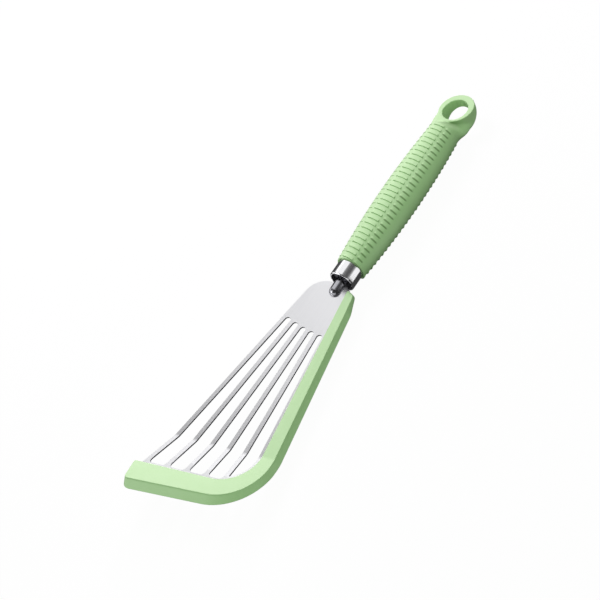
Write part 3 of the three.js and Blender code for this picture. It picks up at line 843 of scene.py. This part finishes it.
def lined_steel(name, base, deep, line, roughness):
    """Stainless steel with fine lines from brushing or turning: a metal with faint lighter and darker lines
    that break up its reflections a little. A line's size is given across, along and up. The lines are drawn
    coarser than real ones, so that they show. Faces flagged by an attribute get a painted shade of dark
    grey."""
    material, tree, shader, where = new_material(name)
    stretched = add_node(tree, "ShaderNodeMapping", links={
        "Vector": where, "Scale": tuple(1 / (part * MM) for part in line),
    })
    lines = add_node(tree, "ShaderNodeTexNoise", links={
        "Vector": stretched.outputs[0], "Scale": 1.0, "Detail": 3.0, "Roughness": 0.6,
    }).outputs["Fac"]
    cut_edge = finishes().cut_edge
    pattern(tree, shader, lines, lines, (base, deep), roughness, LINES, "cut_edge", cut_edge)
    shader.inputs["Metallic"].default_value = 1.0
    return material


def finishes():
    """The colours that the user has set."""
    return bpy.context.scene.turner.finishes


def green_silicone():
    """Silicone of the strip: satin and even."""
    base, deep = finishes().silicone, finishes().silicone_deep
    return moulded_rubber("moulded_silicone", base, deep, patch=9 * MM, grit=0.35 * MM, roughness=0.5)


def green_rubber():
    """Soft rubber of the grip: a little duller than the strip."""
    base, deep = finishes().grip, finishes().grip_deep
    return moulded_rubber("soft_touch_rubber", base, deep, patch=7 * MM, grit=0.3 * MM, roughness=0.55)


def core_nylon():
    """Grey moulded nylon of the hidden core."""
    base, deep = finishes().nylon, finishes().nylon_deep
    return moulded_rubber("moulded_nylon", base, deep, patch=14 * MM, grit=0.6 * MM, roughness=0.5)


# Sizes of the steel's lines in millimetres: brushed along the blade, and turned round the handle.
BRUSH_LINE = (0.35, 45, 0.35)
TURNING_LINE = (30, 0.3, 30)


def brushed_sheet():
    """Brushed sheet of the blade: broad, soft reflections."""
    base, deep = finishes().sheet, finishes().sheet_deep
    return lined_steel("brushed_stainless", base, deep, BRUSH_LINE, roughness=0.36)


def polished_steel():
    """Polished tube of the ferrule: crisp bands of light and dark."""
    base, deep = finishes().polished, finishes().polished_deep
    return lined_steel("polished_stainless", base, deep, TURNING_LINE, roughness=0.13)


def satin_steel():
    """Satin rod: a little greyer and duller than the ferrule."""
    base, deep = finishes().satin, finishes().satin_deep
    return lined_steel("satin_stainless", base, deep, TURNING_LINE, roughness=0.2)


# Pieces

def cut_at_bend(mesh, lip):
    """Cut a flat mesh along lines parallel to the bend, so that it can roll up there."""
    across = Vector((-sin(lip.slant), cos(lip.slant), 0))
    arc = lip.radius * lip.angle
    shell = bmesh.new()
    shell.from_mesh(mesh)
    bmesh.ops.triangulate(shell, faces=shell.faces)
    for step in range(lip.steps + 1):
        level = arc * (step / lip.steps - 0.5)
        cut_across(shell, Vector((0, lip.bend_y, 0)) - across * level, across)
    shell.to_mesh(mesh)
    shell.free()


def rolled_up(name, mesh, material):
    """The mesh of a flat piece with its lip rolled up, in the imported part's place."""
    settings = bpy.context.scene.turner
    lip = settings.lip
    cut_at_bend(mesh, lip)
    inputs = {
        "Bend Y": lip.bend_y, "Slant": lip.slant, "Angle": lip.angle, "Radius": lip.radius,
        "Top": sheet_low.z + settings.blade.thickness,
    }
    bent = evaluated(name, mesh, lip_tree(), **inputs, Material=material)
    bent.transform(Matrix.Translation(AXIS))
    return bent


# Faces of the sheet that lean further than this from level are its punched edges.
PUNCHED_LEAN = radians(60)


def make_blade():
    """The punched and bent sheet."""
    settings = bpy.context.scene.turner
    blade = settings.blade
    plan = BladePlan(blade, settings.strip)
    curve = bpy.data.curves.new("blade_plan", "CURVE")
    curve.dimensions = "2D"
    curve.fill_mode = "BOTH"
    curve.extrude = blade.thickness / 2 - blade.edge_chamfer
    curve.bevel_depth = blade.edge_chamfer
    curve.bevel_resolution = 0
    curve.offset = -blade.edge_chamfer
    for outline in [plan.sheet(), *(plan.slot(index) for index in range(blade.tine_count - 1))]:
        spline = curve.splines.new("POLY")
        spline.points.add(len(outline) - 1)
        for point, place in zip(spline.points, outline):
            point.co = (*place, 0, 1)
        spline.use_cyclic_u = True
    mesh = plain_mesh(shown("blade_plan", curve))
    mesh.transform(Matrix.Translation((0, 0, sheet_low.z + blade.thickness / 2)))
    tidy_mesh(mesh)
    bent = rolled_up("blade_sheet", mesh, brushed_sheet())
    smooth(bent, sharp_angle=radians(20))
    # The sheet's punched edges get a painted shade of dark grey.
    cut = bent.attributes.new("cut_edge", "FLOAT", "FACE")
    level = cos(PUNCHED_LEAN)
    cut.data.foreach_set("value", [float(abs(face.normal.z) < level) for face in bent.polygons])
    return add_piece("blade_sheet", bent, "brushed_blade_steel", "blade")


def strip_levels(strip, low, high, steps=5):
    """Height, bevel's spread and draw of the strip's outlines, from its foot to its top."""
    rounding = strip.edge_rounding
    levels = []
    for step in range(steps + 1):
        angle = pi / 2 * (1 - step / steps)
        levels.append((low + rounding * (1 - cos(pi / 2 - angle)), 1.0, rounding * (1 - cos(angle))))
    for step in range(steps + 1):
        angle = pi / 2 * step / steps
        levels.append((high - rounding + rounding * sin(angle), 0.0, rounding * (1 - cos(angle))))
    return levels


def make_edge_strip():
    """The silicone strip, moulded over the sheet's front and right edges."""
    settings = bpy.context.scene.turner
    strip = settings.strip
    plan = BladePlan(settings.blade, strip)
    high = sheet_low.z + settings.blade.thickness + strip.above
    rings = [
        [Vector((*point, z)) for point in plan.strip_outline(spread, draw)]
        for z, spread, draw in strip_levels(strip, strip_low.z, high)
    ]
    points = [point for ring in rings for point in ring]
    mesh = bpy.data.meshes.new("edge_strip_flat")
    mesh.from_pydata(points, [], loft_faces(len(rings), len(rings[0])))
    tidy_mesh(mesh)
    bent = rolled_up("silicone_edge", mesh, green_silicone())
    smooth(bent, sharp_angle=radians(50))
    piece = add_piece("silicone_edge", weighted(bent), "green_silicone", "edge_strip")
    # The brushed sheet is too dull to mirror the strip.
    piece.visible_glossy = False
    return piece


def weighted(mesh):
    """The mesh with normals that follow its large faces, so that these stay flat beside rounded edges."""
    holder = shown(mesh.name, mesh)
    holder.modifiers.new("weighted", "WEIGHTED_NORMAL").weight = 100
    return plain_mesh(holder)


# Length over which the rod's flat runs out beside the ferrule's mouth.
FLAT_RUN_OUT = 0.3 * MM


def make_rod():
    """The welded rod with its round nose, milled flat where it lies on the sheet."""
    settings = bpy.context.scene.turner
    radius = (rod_high.x - rod_low.x) / 2
    nose_steps = 24
    profile = []
    for step in range(nose_steps + 1):
        angle = pi / 2 * step / nose_steps
        profile.append((radius * sin(angle), rod_low.y + radius * (1 - cos(angle))))
    profile += [(radius, rod_high.y), (0, rod_high.y)]
    mesh = turned("welded_rod", profile, settings.ferrule.sides)
    flat_end = -settings.blade.ferrule_gap
    flat_level = sheet_low.z + settings.blade.thickness + settings.ferrule.weld_gap
    shell = bmesh.new()
    shell.from_mesh(mesh)
    for level in (flat_end, flat_end + FLAT_RUN_OUT):
        cut_across(shell, (0, level, 0), (0, 1, 0))
    for corner in shell.verts:
        if corner.co.y <= flat_end + SAME_POINT:
            corner.co.z = max(corner.co.z, flat_level)
    shell.to_mesh(mesh)
    shell.free()
    finished(mesh, satin_steel(), sharp_angle=radians(35))
    piece = add_piece("welded_rod", mesh, "polished_steel", "shank_rod")
    # The brushed sheet is too dull to mirror the rod.
    piece.visible_glossy = False
    return piece


def make_ferrule():
    """The polished tube with its chamfered mouth."""
    ferrule = bpy.context.scene.turner.ferrule
    bore = FERRULE_RADIUS - ferrule.wall
    fine, edge = ferrule.mouth_rounding / 2, ferrule.edge_rounding
    profile = rounded_outline([
        (Vector((bore, 0)), fine, 4),
        (Vector((FERRULE_RADIUS - ferrule.chamfer, 0)), fine, 4),
        (Vector((FERRULE_RADIUS, ferrule.chamfer)), edge, 8),
        (Vector((FERRULE_RADIUS, FERRULE_LENGTH)), fine, 4),
        (Vector((bore, FERRULE_LENGTH)), fine, 4),
    ])
    mesh = turned("polished_ferrule", profile, ferrule.sides)
    finished(mesh, polished_steel(), sharp_angle=radians(25))
    return add_piece("polished_ferrule", mesh, "polished_steel", "ferrule")


def make_disc():
    """The disc set back in the ferrule's mouth, round the rod, with a painted shade of dark grey all over.
    """
    ferrule = bpy.context.scene.turner.ferrule
    rim = (disc_high.x - disc_low.x) / 2
    hole = (rod_high.x - rod_low.x) / 2 + ferrule.weld_gap
    corners = ((hole, disc_low.y), (rim, disc_low.y), (rim, disc_high.y), (hole, disc_high.y))
    profile = rounded_outline([(Vector(corner), ferrule.mouth_rounding, 4) for corner in corners])
    mesh = turned("mouth_disc", profile, ferrule.sides)
    # Painted shade over the whole disc, for its place deep in the mouth.
    disc_shade = [1.0] * len(mesh.polygons)
    mesh.attributes.new("cut_edge", "FLOAT", "FACE").data.foreach_set("value", disc_shade)
    finished(mesh, brushed_sheet(), sharp_angle=radians(35))
    return add_piece("mouth_disc", mesh, "brushed_blade_steel", "ferrule_disc")


def dress_core():
    """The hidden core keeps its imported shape, in moulded nylon."""
    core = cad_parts["handle_core"]
    core.data.materials.clear()
    core.data.materials.append(core_nylon())


def joined(first, second, fillet):
    """Two solids' fields as one, with a fillet where they meet."""
    share = np.clip(0.5 + 0.5 * (second - first) / fillet, 0, 1)
    return second + (first - second) * share - fillet * share * (1 - share)


def common(first, second, rounding):
    """What two solids' fields share, with a rounded edge."""
    return -joined(-first, -second, rounding)


def eased(value, start, end):
    """0 before start, 1 after end and an S-curve between."""
    share = np.clip((value - start) / (end - start), 0, 1)
    return share * share * (3 - 2 * share)


def from_loop_wall(x, y):
    """Roughly the distance out from the loop's outline, negative inside."""
    grip = bpy.context.scene.turner.grip
    from_centre = np.hypot(x / grip.loop_half_width, (y - grip.loop_y) / grip.loop_half_length)
    return (from_centre - 1) * grip.loop_half_length


# The barrel's sections are ovals, whose coordinates add up by this power.
OVAL = 2


def barrel_field(x, y, z):
    """Roughly the distance from the barrel and the neck. The barrel is an oval that slims to its ends. The
    neck drops to the loop and widens to it, squarely on the left and later on its falling right flank."""
    grip = bpy.context.scene.turner.grip
    bulge = 1 - ((np.minimum(y, grip.neck_y) - grip.middle_y) / grip.half_reach) ** 2
    half_width = between(grip.end_width, grip.middle_width, bulge) / 2
    half_height = between(grip.end_height, grip.middle_height, bulge) / 2
    right = eased(x, -grip.ridge, grip.ridge)
    scoop = eased(y, grip.scoop_start, grip.scoop_end)
    flare = eased(y, grip.neck_y + grip.flank_delay * right, grip.flare_end)
    flank = eased(y, grip.flank_start, grip.flank_end)
    half_width = between(half_width, grip.loop_half_width - grip.loop_rounding * right, flare)
    top = between(half_height, grip.loop_face - grip.loop_step * right, scoop)
    fullness = between(grip.neck_squareness, grip.flank_squareness, right)
    squareness = between(OVAL, fullness, between(flare ** 3, flank, right))
    level = -grip.flank_drop * flank * right
    height = np.where(z > level, top - level, half_height + level)
    wide = np.abs(x / half_width) ** squareness
    tall = np.abs((z - level) / height) ** squareness
    reach = (wide + tall) ** (1 / squareness)
    return (reach - 1) * np.minimum(half_width, height)


def grip_field(x, y, z):
    """Roughly the distance from the grip's surface, in metres and negative inside."""
    grip = bpy.context.scene.turner.grip
    barrel = common(barrel_field(x, y, z), grip_low.y - y, grip.rim_rounding)
    barrel = common(barrel, y - grip.loop_y, grip.rim_rounding)
    loop = common(from_loop_wall(x, y), z - grip.loop_face, grip.loop_rounding)
    body = joined(barrel, loop, grip.neck_fillet)
    slope = tan(grip.underside_slope)
    under = grip.loop_face - grip.loop_end + slope * (y - grip_high.y) - z
    body = common(body, under * cos(grip.underside_slope), grip.belly_fillet)
    hole = np.hypot(x, y - grip.hole_y) - grip.hole_radius
    body = common(body, -hole, grip.loop_rounding)
    bore = np.maximum(np.hypot(x, z) - FERRULE_RADIUS - grip.bore_gap, y - grip.bore_end)
    return common(body, -bore, 2 * grip.bore_gap)


# How points settle on a surface: the rounds, the share of the way that each round goes, how far a point may
# stray from its cell's centre, the least slope that counts, and the nudges that measure a slope.
SETTLING_ROUNDS = 12
SETTLING_SHARE = 0.8
STRAY_SHARE = 0.6
LEAST_SLOPE = 1e-9
NUDGES_PER_CELL = 50


def settled(field, centres, cell):
    """The points at the centres of cells, drawn onto the surface where a field is zero."""
    points = centres.copy()
    nudges = np.eye(3) * cell / NUDGES_PER_CELL
    for _ in range(SETTLING_ROUNDS):
        steps = [field(*(points + nudge).T) - field(*(points - nudge).T) for nudge in nudges]
        slope = np.stack(steps, axis=1) / (2 * nudges[0, 0])
        steepness = np.maximum((slope ** 2).sum(1), LEAST_SLOPE)
        points -= SETTLING_SHARE * slope * (field(*points.T) / steepness)[:, None]
        points = np.clip(points, centres - cell * STRAY_SHARE, centres + cell * STRAY_SHARE)
    return points


def surface_of(field, low, high, cell):
    """Points and faces of the closed surface where a field is zero: one point in each grid cell that the
    surface crosses, drawn onto the surface, and one face round each grid edge that it crosses."""
    axes = [np.arange(start - 2 * cell, end + 3 * cell, cell) for start, end in zip(low, high)]
    inside = field(*np.meshgrid(*axes, indexing="ij")) < 0
    halves = [np.s_[:-1], np.s_[1:]]
    counts = sum(inside[a, b, c].astype(int) for a in halves for b in halves for c in halves)
    crossed = (counts > 0) & (counts < len(halves) ** 3)
    cells = np.argwhere(crossed)
    number_of = np.full(crossed.shape, -1)
    number_of[crossed] = np.arange(len(cells))
    centres = np.stack([axes[d][cells[:, d]] + cell / 2 for d in range(3)], axis=1)
    faces = []
    for d in range(3):
        turned_axes = (d, (d + 1) % 3, (d + 2) % 3)
        ahead = np.moveaxis(inside, turned_axes, (0, 1, 2))
        around = np.moveaxis(number_of, turned_axes, (0, 1, 2))
        change = ahead[1:, 1:-1, 1:-1] != ahead[:-1, 1:-1, 1:-1]
        i, j, k = np.argwhere(change).T
        corners = ((j, k), (j + 1, k), (j + 1, k + 1), (j, k + 1))
        quads = np.stack([around[i, a, b] for a, b in corners], axis=1)
        leaving = ahead[i, j + 1, k + 1]
        quads[~leaving] = quads[~leaving][:, ::-1]
        faces.append(quads)
    return settled(field, centres, cell), np.concatenate(faces)


# Depth of the painted shade in the crease, where 1 is that of the grooves.
CREASE_DEPTH = 0.8


def crease_shade(x, y, z):
    """How deep the painted shade is in the crease where the neck's right flank meets the loop's wall, and
    on the flank near it.
    """
    grip = bpy.context.scene.turner.grip
    from_wall = from_loop_wall(x, y)
    near = np.exp(-(from_wall / grip.crease_reach) ** 2) * (y < grip.loop_y)
    below = 1 - eased(z, grip.loop_face - 2 * grip.loop_rounding, grip.loop_face)
    below = np.maximum(below, eased(from_wall, grip.loop_rounding, 2 * grip.loop_rounding))
    along = eased(x, -grip.crease_start, 0) * (1 - eased(x, grip.crease_start, 3 * grip.crease_start))
    return CREASE_DEPTH * near * below * along


def make_grip():
    """The soft sleeve with its scooped neck and hang loop, as one moulded body."""
    grip = bpy.context.scene.turner.grip
    points, faces = surface_of(grip_field, grip_low, grip_high, grip.cell)
    mesh = bpy.data.meshes.new("grip_sleeve")
    mesh.from_pydata((points + np.array(AXIS)).tolist(), [], faces.tolist())
    # Painted shade in the crease by the loop, in the same attribute as the ribs' painted shade.
    shades = mesh.attributes.new("groove_shade", "FLOAT", "POINT")
    shades.data.foreach_set("value", crease_shade(*points.T))
    mesh.materials.append(green_rubber())
    smooth(mesh, sharp_angle=radians(60))
    return add_piece("grip_sleeve", mesh, "green_grip", "grip")


class RibColumn(NamedTuple):
    """One column of ribs: the angles where a rib begins and ends and where it has full height, its height,
    the slope before its proud edge, its steps, and its painted shade there and at its first end."""

    start: float
    end: float
    first_fade: float
    last_fade: float
    height: float
    ramp: float
    steps: int
    painted_groove_shade: float
    hook: float


# A rib's length as a share of the pitch, and how its back falls: shares of the pitch and of its height.
RIB_LENGTH = 0.97
RIB_BACK = ((0.2, 0.6), (0.4, 0.25))

# The slope up to the proud edge: its height halfway, and how its edge is rounded, as shares of the crest.
HALFWAY_HEIGHT = 0.45
CREST_START = (0.2, 0.25)
# Share of the painted shade just before the crest.
CREST_SHADE = 0.7


def rib_profile(column, height, fade, end_shade):
    """Place along the grip, rise and painted shade of the points round a rib's section: a slope up to its
    proud edge, then a long slope away. The slope before the proud edge gets a painted shade."""
    ribs = bpy.context.scene.turner.ribs
    ramp, painted_groove_shade, foot = column.ramp, column.painted_groove_shade, ribs.foot
    tail = RIB_LENGTH * ribs.pitch - ramp
    (near_back, near_height), (far_back, far_height) = RIB_BACK
    crest_back, crest_drop = CREST_START
    return [
        (-ramp, -ribs.root, painted_groove_shade / 2),
        (-ramp, foot, painted_groove_shade / 2),
        (-ramp / 2, between(foot, height, HALFWAY_HEIGHT), painted_groove_shade),
        (-crest_back * ribs.crest, height - crest_drop * ribs.crest * fade, CREST_SHADE * painted_groove_shade),
        (ribs.crest / 2, max(height, foot), end_shade),
        (near_back * ribs.pitch, between(foot, height, near_height), end_shade),
        (far_back * ribs.pitch, between(foot, height, far_height), end_shade / 2),
        (tail, foot, 0),
        (tail, -ribs.root, 0),
    ]


def rib_tile(column):
    """Points, faces and painted shades of one flat rib. It fades in and out at its ends. The first end of a
    middle rib gets painted shade too, like a little hook."""
    grip, ribs = bpy.context.scene.turner.grip, bpy.context.scene.turner.ribs
    mean_half_width = (grip.middle_width + grip.end_width) / 4
    points, shades = [], []
    for step in range(column.steps + 1):
        angle = between(column.start, column.end, step / column.steps)
        fade = min(1, abs(angle - column.end) / column.last_fade)
        height = column.height * min(fade, abs(angle - column.start) / column.first_fade)
        profile = rib_profile(column, height, fade, column.hook if step == 0 else 0)
        lean = tan(ribs.lean) * mean_half_width * cos(angle)
        points += [(angle, ribs.first_y + along - lean, rise) for along, rise, _ in profile]
        shades += [shade if column.hook else shade * fade for _, _, shade in profile]
    return points, loft_faces(column.steps + 1, len(profile)), shades


def rib_row(ribs):
    """One flat row of ribs: a middle and two side columns on top, and one broad column below. The side ribs
    fade out down the grip's flanks."""
    ends = {"first_fade": ribs.end_ramp, "last_fade": ribs.end_ramp}
    crisp = {**ends, "height": ribs.height, "ramp": ribs.ramp}
    faded = {"first_fade": ribs.side_rise, "last_fade": ribs.side_fade, "steps": 22, "hook": 0}
    columns = (
        RibColumn(
            start=ribs.middle_edge, end=pi - ribs.left_edge, **crisp, steps=26, painted_groove_shade=0.55, hook=1,
        ),
        RibColumn(
            start=ribs.side_start, end=ribs.side_end, **faded,
            height=ribs.side_height, ramp=ribs.side_ramp, painted_groove_shade=1,
        ),
        RibColumn(
            start=pi - ribs.left_start, end=pi - ribs.left_end, **faded,
            height=ribs.left_height, ramp=ribs.ramp, painted_groove_shade=0.9,
        ),
        RibColumn(
            start=-ribs.under_edge, end=ribs.under_edge - pi, **crisp, steps=40, painted_groove_shade=0.4, hook=0,
        ),
    )
    mesh = bpy.data.meshes.new("rib_row")
    shell = bmesh.new()
    shades = []
    for column in columns:
        points, faces, column_shades = rib_tile(column)
        corners = [shell.verts.new(point) for point in points]
        for face in faces:
            shell.faces.new([corners[place] for place in face])
        shades += column_shades
    shell.to_mesh(mesh)
    shell.free()
    mesh.attributes.new("groove_shade", "FLOAT", "POINT").data.foreach_set("value", shades)
    return mesh


def make_ribs(sleeve):
    """The grip's ribs, wrapped onto its surface."""
    settings = bpy.context.scene.turner
    grip, ribs = settings.grip, settings.ribs
    bare = shown("bare_grip", sleeve.data.copy())
    bare.data.transform(Matrix.Translation(-AXIS))
    inputs = {
        "Rows": ribs.rows, "Pitch": ribs.pitch, "Spread": ribs.spread,
        "Middle": grip.middle_y, "Half reach": grip.half_reach,
        "Middle width": grip.middle_width, "End width": grip.end_width,
        "Middle height": grip.middle_height, "End height": grip.end_height,
        "Grip": bare, "Material": sleeve.data.materials[0],
    }
    mesh = evaluated("grip_ribs", rib_row(ribs), rib_tree(), **inputs)
    bpy.data.objects.remove(bare)
    mesh.transform(Matrix.Translation(AXIS))
    tidy_mesh(mesh, SAME_RIB_POINT)
    smooth(mesh, sharp_angle=radians(40))
    piece = shown("grip_ribs", mesh)
    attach(piece, "root")
    return piece


# Studio

SENSOR_WIDTH = 36


def make_camera(studio):
    """The camera at the photograph's place. Its sensor's width is in millimetres."""
    data = bpy.data.cameras.new("camera")
    data.lens = studio.lens
    data.sensor_width = SENSOR_WIDTH
    camera = shown("camera", data)
    right, up = Vector(studio.right).normalized(), Vector(studio.up).normalized()
    back = right.cross(up).normalized()
    up = back.cross(right)
    turned_to = Matrix((right, up, back)).transposed().to_4x4()
    camera.matrix_world = Matrix.Translation(AXIS + Vector(studio.eye)) @ turned_to
    bpy.context.scene.camera = camera


WHITE = (1, 1, 1, 1)


def seen_rays(tree):
    """1 for the rays that show a surface: straight to the camera, by reflection or through glass."""
    path = add_node(tree, "ShaderNodeLightPath")
    glossy = add_node(tree, "ShaderNodeMath", {"operation": "MAXIMUM"}, {
        0: path.outputs["Is Glossy Ray"], 1: path.outputs["Is Transmission Ray"],
    })
    return add_node(tree, "ShaderNodeMath", {"operation": "MAXIMUM"}, {
        0: path.outputs["Is Camera Ray"], 1: glossy.outputs[0],
    }).outputs[0]


def make_world(studio):
    """A white room that lights the object softly from all round."""
    world = bpy.data.worlds.new("studio")
    world.use_nodes = True
    tree = world.node_tree
    ambient = [studio.ambient * part for part in studio.ambient_colour]
    tone = add_node(tree, "ShaderNodeMix", {"data_type": "RGBA"}, {
        "Factor": seen_rays(tree), "A": (*ambient, 1), "B": WHITE,
    })
    tree.links.new(tone.outputs["Result"], tree.nodes["Background"].inputs["Color"])
    bpy.context.scene.world = world


def bare_material(name):
    """A material without nodes, and its tree."""
    material = bpy.data.materials.new(name)
    material.use_nodes = True
    material.node_tree.nodes.clear()
    return material, material.node_tree


FLOOR_HALF_WIDTH = 3.0


def make_floor(studio):
    """A pale floor that keeps the object's soft shadow."""
    half = FLOOR_HALF_WIDTH
    corners = [(-half, -half, 0), (half, -half, 0), (half, half, 0), (-half, half, 0)]
    mesh = bpy.data.meshes.new("floor")
    mesh.from_pydata(corners, [], [(0, 1, 2, 3)])
    material, tree = bare_material("pale_floor")
    bounce = add_node(tree, "ShaderNodeBsdfDiffuse", links={"Color": (*[studio.floor_bounce] * 3, 1)})
    shaded = add_node(tree, "ShaderNodeBsdfDiffuse", links={"Color": WHITE})
    white = add_node(tree, "ShaderNodeEmission", links={"Color": WHITE, "Strength": 1.0})
    seen = add_node(tree, "ShaderNodeMixShader", links={
        0: studio.shadow, 1: white.outputs[0], 2: shaded.outputs[0],
    })
    mixed = add_node(tree, "ShaderNodeMixShader", links={
        0: seen_rays(tree), 1: bounce.outputs[0], 2: seen.outputs[0],
    })
    add_node(tree, "ShaderNodeOutputMaterial", links={0: mixed.outputs[0]})
    mesh.materials.append(material)
    floor = shown("floor", mesh)
    floor.location.z = CAD_BOUNDS[0].z - bpy.context.scene.turner.ribs.height


class Card(NamedTuple):
    """A plain card that only the metal's reflections show: a corner and two edges, in millimetres from the
    ferrule's mouth, and the tones along its first edge, each with its place."""

    name: str
    corner: tuple
    along: tuple
    up: tuple
    tones: tuple


def even(tone):
    """The tones of a card that is the same all over."""
    return (0, tone), (1, tone)


BLADE_TONES = ((0, 0.05), (0.6, 0.05), (0.85, 0.5), (1, 1))
LEFT_TONES = ((0, 0.08), (0.7, 0.08), (1, 0.6))
RIGHT_TONES = ((0, 0.75), (0.14, 0.32), (0.3, 0.11), (0.5, 0.1), (0.7, 0.14), (0.92, 0.3), (1, 0.5))
NOSE_TONES = ((0, 1), (0.12, 1), (0.2, 0.05), (1, 0.05))

# The blade mirrors a dark room that gets lighter to the handle, and its lip a bright patch. The ferrule has
# a dark band on each side, and a white one low on its right. The rod's nose is dark in front, with a small
# light. The dark cards above and below give the cut edges and the chamfer their depth.
CARDS = (
    Card("blade_card", (-620, -350, 350), (0, 650, 0), (0, 0, 750), BLADE_TONES),
    Card("lip_card", (-620, 330, 380), (0, 300, 0), (0, 0, 260), even(1.6)),
    Card("left_card", (-105, 24, -2.5), (0, 0, 62.5), (0, 100, 0), LEFT_TONES),
    Card("right_card", (538, 60, 154), (-479, 0, 403), (0, 360, 0), RIGHT_TONES),
    Card("white_card", (60, 23.3, -10.5), (0, 37, 0), (0, 0, 25), even(1)),
    Card("white_floor_card", (27, 10.5, -10.8), (0, 50, 0), (33, 13, 0), even(1)),
    Card("rod_card", (60, 6, -4), (0, 16.8, 0), (0, 0, 74), even(0.03)),
    Card("nose_card", (-30, -150, -11), (0, 150, 300), (430, 0, 0), NOSE_TONES),
    Card("nose_side_card", (120, -160, -11), (0, 0, 260), (0, 180, 0), even(0.05)),
    Card("nose_light_card", (-274, -255, 102), (92, -74, 0), (0, 0, 130), even(4)),
    Card("top_card", (-330, -330, 600), (0, 310, 0), (660, 0, 0), even(0.1)),
    Card("under_card", (-420, -500, -11), (0, 1100, 0), (840, 0, 0), even(0.05)),
)


def make_card(card):
    """One card, out of sight but for its mirror images."""
    corner, along, up = (Vector(part) * MM for part in (card.corner, card.along, card.up))
    corner = corner + AXIS
    mesh = bpy.data.meshes.new(card.name)
    mesh.from_pydata([corner, corner + along, corner + along + up, corner + up], [], [(0, 1, 2, 3)])
    fade = mesh.uv_layers.new(name="fade")
    for loop, place in zip(fade.data, ((0, 0), (1, 0), (1, 1), (0, 1))):
        loop.uv = place
    material, tree = bare_material(card.name)
    across = add_node(tree, "ShaderNodeUVMap", {"uv_map": "fade"})
    share = add_node(tree, "ShaderNodeSeparateXYZ", links={0: across.outputs[0]})
    ramp = add_node(tree, "ShaderNodeValToRGB", links={0: share.outputs[0]})
    for place, tone in card.tones[1:-1]:
        ramp.color_ramp.elements.new(place)
    for element, (place, tone) in zip(ramp.color_ramp.elements, card.tones):
        element.position = place
        element.color = (tone, tone, tone, 1)
    light = add_node(tree, "ShaderNodeEmission", links={"Color": ramp.outputs[0]})
    add_node(tree, "ShaderNodeOutputMaterial", links={0: light.outputs[0]})
    mesh.materials.append(material)
    piece = shown(card.name, mesh)
    piece.visible_camera = False
    piece.visible_diffuse = False
    piece.visible_shadow = False
    piece.visible_transmission = False


def place_lamp(data, place, aim, power, tint):
    """Set up a lamp that faces a point, both in millimetres from the ferrule's mouth. It lights the object
    and is never seen itself."""
    data.energy = power
    data.color = tint
    lamp = shown(data.name, data)
    lamp.location = AXIS + Vector(place) * MM
    direction = AXIS + Vector(aim) * MM - lamp.location
    lamp.rotation_euler = direction.to_track_quat("-Z", "Y").to_euler()
    lamp.visible_camera = False
    lamp.visible_glossy = False


def make_lamps(studio):
    """A large square lamp behind on the left, and a narrow soft spot along the handle to the front lip."""
    key = bpy.data.lights.new("key_lamp", "AREA")
    key.shape = "SQUARE"
    key.size = 250 * MM
    place_lamp(key, (-420, 300, 450), (0, 0, 0), studio.key_power, studio.key_colour)
    spot = bpy.data.lights.new("lip_lamp", "SPOT")
    spot.spot_size = studio.lip_beam
    spot.spot_blend = 1
    spot.shadow_soft_size = 30 * MM
    place_lamp(spot, (-200, 300, 150), (0, -190, 0), studio.lip_power, studio.key_colour)


def make_stage():
    """Camera, floor, world, lamps and cards."""
    studio = bpy.context.scene.turner.studio
    make_camera(studio)
    make_world(studio)
    make_floor(studio)
    make_lamps(studio)
    for card in CARDS:
        make_card(card)
    bpy.context.scene.view_settings.view_transform = "Standard"


# Add-on

class TURNER_OT_blade(bpy.types.Operator):
    """Make the slotted blade with its bent lip"""

    bl_idname = "turner.blade"
    bl_label = "Blade"

    def execute(self, context):
        make_blade()
        return {"FINISHED"}


class TURNER_OT_edge_strip(bpy.types.Operator):
    """Make the silicone strip on the blade's front and right edges"""

    bl_idname = "turner.edge_strip"
    bl_label = "Edge strip"

    def execute(self, context):
        make_edge_strip()
        return {"FINISHED"}


class TURNER_OT_steel(bpy.types.Operator):
    """Make the rod, the ferrule and the disc in its mouth"""

    bl_idname = "turner.steel"
    bl_label = "Rod and ferrule"

    def execute(self, context):
        make_rod()
        make_ferrule()
        make_disc()
        return {"FINISHED"}


class TURNER_OT_grip(bpy.types.Operator):
    """Make the soft grip with its hang loop, its ribs and the finish of its core"""

    bl_idname = "turner.grip"
    bl_label = "Grip"

    def execute(self, context):
        make_ribs(make_grip())
        dress_core()
        return {"FINISHED"}


class TURNER_OT_stage(bpy.types.Operator):
    """Make the camera, floor, lamps and cards"""

    bl_idname = "turner.stage"
    bl_label = "Studio"

    def execute(self, context):
        make_stage()
        return {"FINISHED"}


class TURNER_PT_panel(bpy.types.Panel):
    """Buttons that make the turner's pieces, and its settings"""

    bl_label = "Turner"
    bl_idname = "TURNER_PT_panel"
    bl_space_type = "VIEW_3D"
    bl_region_type = "UI"
    bl_category = "Turner"

    def draw(self, context):
        for operator in OPERATORS:
            self.layout.operator(operator.bl_idname)
        settings = context.scene.turner
        for name, group in SETTINGS.items():
            box = self.layout.box()
            for size_name in group.__annotations__:
                box.prop(getattr(settings, name), size_name)


OPERATORS = (TURNER_OT_blade, TURNER_OT_edge_strip, TURNER_OT_steel, TURNER_OT_grip, TURNER_OT_stage)
CLASSES = (*SETTINGS.values(), TurnerSettings, *OPERATORS, TURNER_PT_panel)


def register():
    """Register the classes and the turner's settings."""
    for each in CLASSES:
        bpy.utils.register_class(each)
    bpy.types.Scene.turner = PointerProperty(type=TurnerSettings)


def unregister():
    """Take the settings and the classes away again."""
    del bpy.types.Scene.turner
    for each in reversed(CLASSES):
        bpy.utils.unregister_class(each)


def main():
    """Make the turner and its studio."""
    register()
    bpy.ops.turner.blade()
    bpy.ops.turner.edge_strip()
    bpy.ops.turner.steel()
    bpy.ops.turner.grip()
    bpy.ops.turner.stage()


if __name__ == "__main__":
    main()
